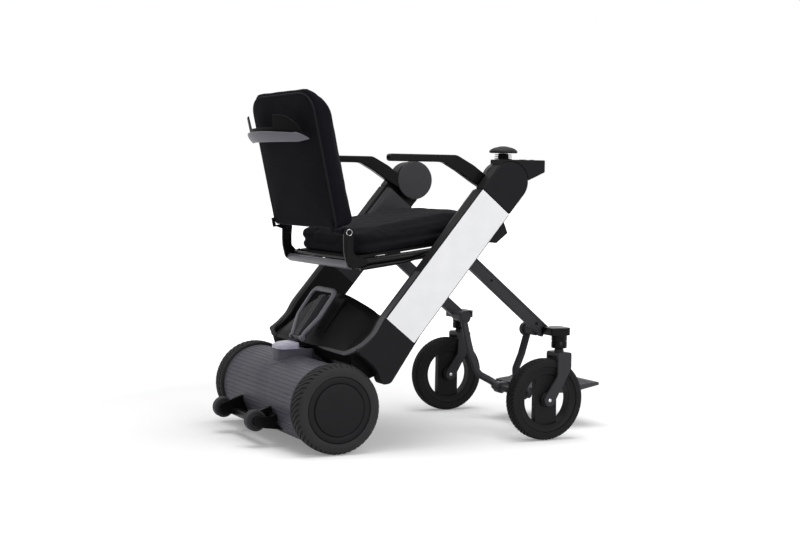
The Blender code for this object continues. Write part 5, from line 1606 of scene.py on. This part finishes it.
def handle_lines(x):
    """Where the plate's inner face, the grip's two edges and the plate's rim are at x."""
    far = abs(x)
    inner = BACK_REAR + 0.0010 + HANDLE_BOW * (1 - (far / 0.1860) ** 2)
    curve = min(1.0, far / 0.142) ** 2
    low = 0.2245 - 0.0065 * curve + 0.0030 * max(0.0, (far - 0.142) / 0.036)
    high = 0.2520 - 0.0110 * curve - 0.0170 * max(0.0, (far - 0.150) / 0.028) ** 1.3
    rise = min(1.0, max(0.0, (far - 0.0700) / 0.0090))
    wing = rise * min(1.0, max(0.0, (0.1575 - far) / 0.0400)) ** 0.42
    rim = high + 0.0070 * (1 - (far / HANDLE_X) ** 4) + 0.0310 * wing
    return inner, low, high, rim


def grip_mesh():
    rings = []
    for x in HANDLE_STATIONS:
        inner, low, high, rim = handle_lines(x)
        full = max(0.12, 1 - (abs(x) / HANDLE_X) ** 6)
        middle = (low + high) / 2
        ring = []
        for angle in range(0, 360, 20):
            a = middle + (high - low) / 2 * cos(radians(angle))
            swell = sin(radians(angle))
            lean = 0.0055 * cos(radians(angle)) * full
            ring.append(back_point(x, a, inner + 0.0030 + lean + 0.0050 * full * max(swell, -0.2)))
        rings.append(ring)
    return joined(rings)


def wing_mesh():
    rings = []
    for x in HANDLE_STATIONS:
        inner, low, high, rim = handle_lines(x)
        foot = low + 0.3 * (high - low)
        ring = [(foot, inner), (foot, inner + 0.0022), (rim - 0.0006, inner + 0.0028), (rim, inner + 0.0020),
                (rim, inner + 0.0008), (rim - 0.0006, inner)]
        rings.append([back_point(x, a, b) for a, b in ring])
    return joined(rings)


piece("push_handle", grip_mesh(), grip, "backrest", ["push_handle"], sharp=50)
piece("push_handle_wings", wing_mesh(), wing_grey, "backrest", sharp=38)
print("push handle bows out by", round(1000 * HANDLE_BOW), "mm")

# %% [markdown]
# ## Back brackets
# Curved steel straps rise from the seat frame and carry the back's pivots. Each has a bright ring
# round its pivot and a slim raised plate down its outer face.

# %% Brackets


def bracket_mesh(side):
    strap = [(y, z, 0) for y, z in arc(BACK_PIVOT, 0.0130, -20, 190, 24)]
    strap += [(-0.0655, 0.4640, 0.02), (-0.0660, 0.4400, 0.010), (-0.0790, 0.4270, 0.008),
              (-0.1000, 0.4240, 0.006), (-0.1010, 0.4110, 0.006), (-0.0800, 0.4050, 0.010),
              (-0.0640, 0.4020, 0.012), (-0.0520, 0.4090, 0.012), (-0.0475, 0.4210, 0.014),
              (-0.0430, 0.4400, 0.020), (-0.0420, 0.4560, 0.02)]
    plate = side_prism(rounded(strap, 0.01, 5), side, 0.1848, 0.1910)
    return merged(plate, cylinder(side * 0.1770, side * 0.1870, 0.0054, (0, *BACK_PIVOT), count=32))


def slot_plate(side):
    """A slim raised plate down the strap, with rounded ends."""
    top, foot = (-0.0535, 0.4640), (-0.0560, 0.4170)
    ends = arc(top, 0.0066, 0, 180, 12) + arc(foot, 0.0066, 180, 360, 12)
    return side_prism(ends, side, 0.1900, 0.1926)


PIVOT_RING = ((0.1905, 0.0056), (0.1936, 0.0060), (0.1942, 0.0067), (0.1936, 0.0074), (0.1905, 0.0078))
pair("back_bracket", bracket_mesh, gloss_black, bevel=0.0012, segments=3)
pair("slot_plate", slot_plate, gloss_black, stands_in=False, bevel=0.0008, segments=2)
pair("pivot_ring", lambda side: turned(sided(side, PIVOT_RING), (0, *BACK_PIVOT), count=48), steel,
     stands_in=False, sharp=50)
print("pivot rings", round(2000 * PIVOT_RING[-1][1], 1), "mm across")

# %% [markdown]
# ## Studio
# The chair stands on a white sweep. The floor and the world look plain white to the camera, and
# light the chair softly. The floor's own glow is seen only by the camera, mirrors and glass, so it
# puts no more light on the chair. It is faint under the chair, where the shadow has to stay, and
# grows with distance until the floor melts into the white world.

# %% Studio
SEEN_BY = ("Is Camera Ray", "Is Glossy Ray", "Is Transmission Ray")


def make_backdrop():
    size = 30.0
    mesh = bpy.data.meshes.new("studio_floor")
    corners = [(-size, -size, 0), (size, -size, 0), (size, size, 0), (-size, size, 0)]
    mesh.from_pydata(corners, [], [(0, 1, 2, 3)])
    floor = bpy.data.objects.new("studio_floor", mesh)
    bpy.context.scene.collection.objects.link(floor)
    floor.location.z = -0.0006
    white = Finish("pale_floor", (0.86, 0.86, 0.87), 0.95, specular_ior_level=0.0)
    x, y, _ = white.axes()
    far = white.spread((x * x + y * y) ** 0.5, 0.9, 2.4, 0.22, 1.05)
    glow, total, mix, path = (white.tree.nodes.new(f"ShaderNode{kind}") for kind in
                              ("Emission", "AddShader", "MixShader", "LightPath"))
    camera_ray, glossy_ray, through_ray = (Wire(white, path.outputs[ray]) for ray in SEEN_BY)
    seen = camera_ray + glossy_ray + through_ray
    tint = white.node("ShaderNodeCombineColor", None, {0: far, 1: far, 2: far})
    white.put(glow.inputs["Color"], tint)
    white.put(mix.inputs[0], seen)
    links = white.tree.links
    links.new(white.shader.outputs[0], total.inputs[0])
    links.new(glow.outputs[0], total.inputs[1])
    links.new(white.shader.outputs[0], mix.inputs[1])
    links.new(total.outputs[0], mix.inputs[2])
    links.new(mix.outputs[0], white.tree.nodes["Material Output"].inputs[0])
    mesh.materials.append(white.material)


def make_world():
    world = bpy.data.worlds.new("studio_world")
    world.use_nodes = True
    bpy.context.scene.world = world
    nodes, links = world.node_tree.nodes, world.node_tree.links
    nodes.clear()
    out = nodes.new("ShaderNodeOutputWorld")
    mix = nodes.new("ShaderNodeMixShader")
    path = nodes.new("ShaderNodeLightPath")
    seen = None
    for ray in SEEN_BY:
        if seen is None:
            seen = path.outputs[ray]
            continue
        either = nodes.new("ShaderNodeMath")
        either.operation = "MAXIMUM"
        links.new(seen, either.inputs[0])
        links.new(path.outputs[ray], either.inputs[1])
        seen = either.outputs[0]
    for strength, slot_index in ((0.30, 1), (1.0, 2)):
        light = nodes.new("ShaderNodeBackground")
        light.inputs["Color"].default_value = (1, 1, 1, 1)
        light.inputs["Strength"].default_value = strength
        links.new(light.outputs[0], mix.inputs[slot_index])
    links.new(seen, mix.inputs[0])
    links.new(mix.outputs[0], out.inputs[0])


def area_lamp(name, place, aim, size, power):
    data = bpy.data.lights.new(name, "AREA")
    data.shape = "RECTANGLE"
    data.size, data.size_y = size
    data.energy = power
    lamp = bpy.data.objects.new(name, data)
    lamp.location = place
    lamp.rotation_euler = (Vector(aim) - Vector(place)).to_track_quat("-Z", "Y").to_euler()
    bpy.context.scene.collection.objects.link(lamp)


make_backdrop()
make_world()
area_lamp("top_lamp", (-0.2, 0.1, 2.8), (0, 0, 0.4), (2.2, 2.2), 62)
area_lamp("side_lamp", (-2.9, -0.3, 1.5), (0, 0, 0.4), (1.8, 1.4), 34)
bpy.context.scene.view_settings.view_transform = "Standard"
print("lamps set")
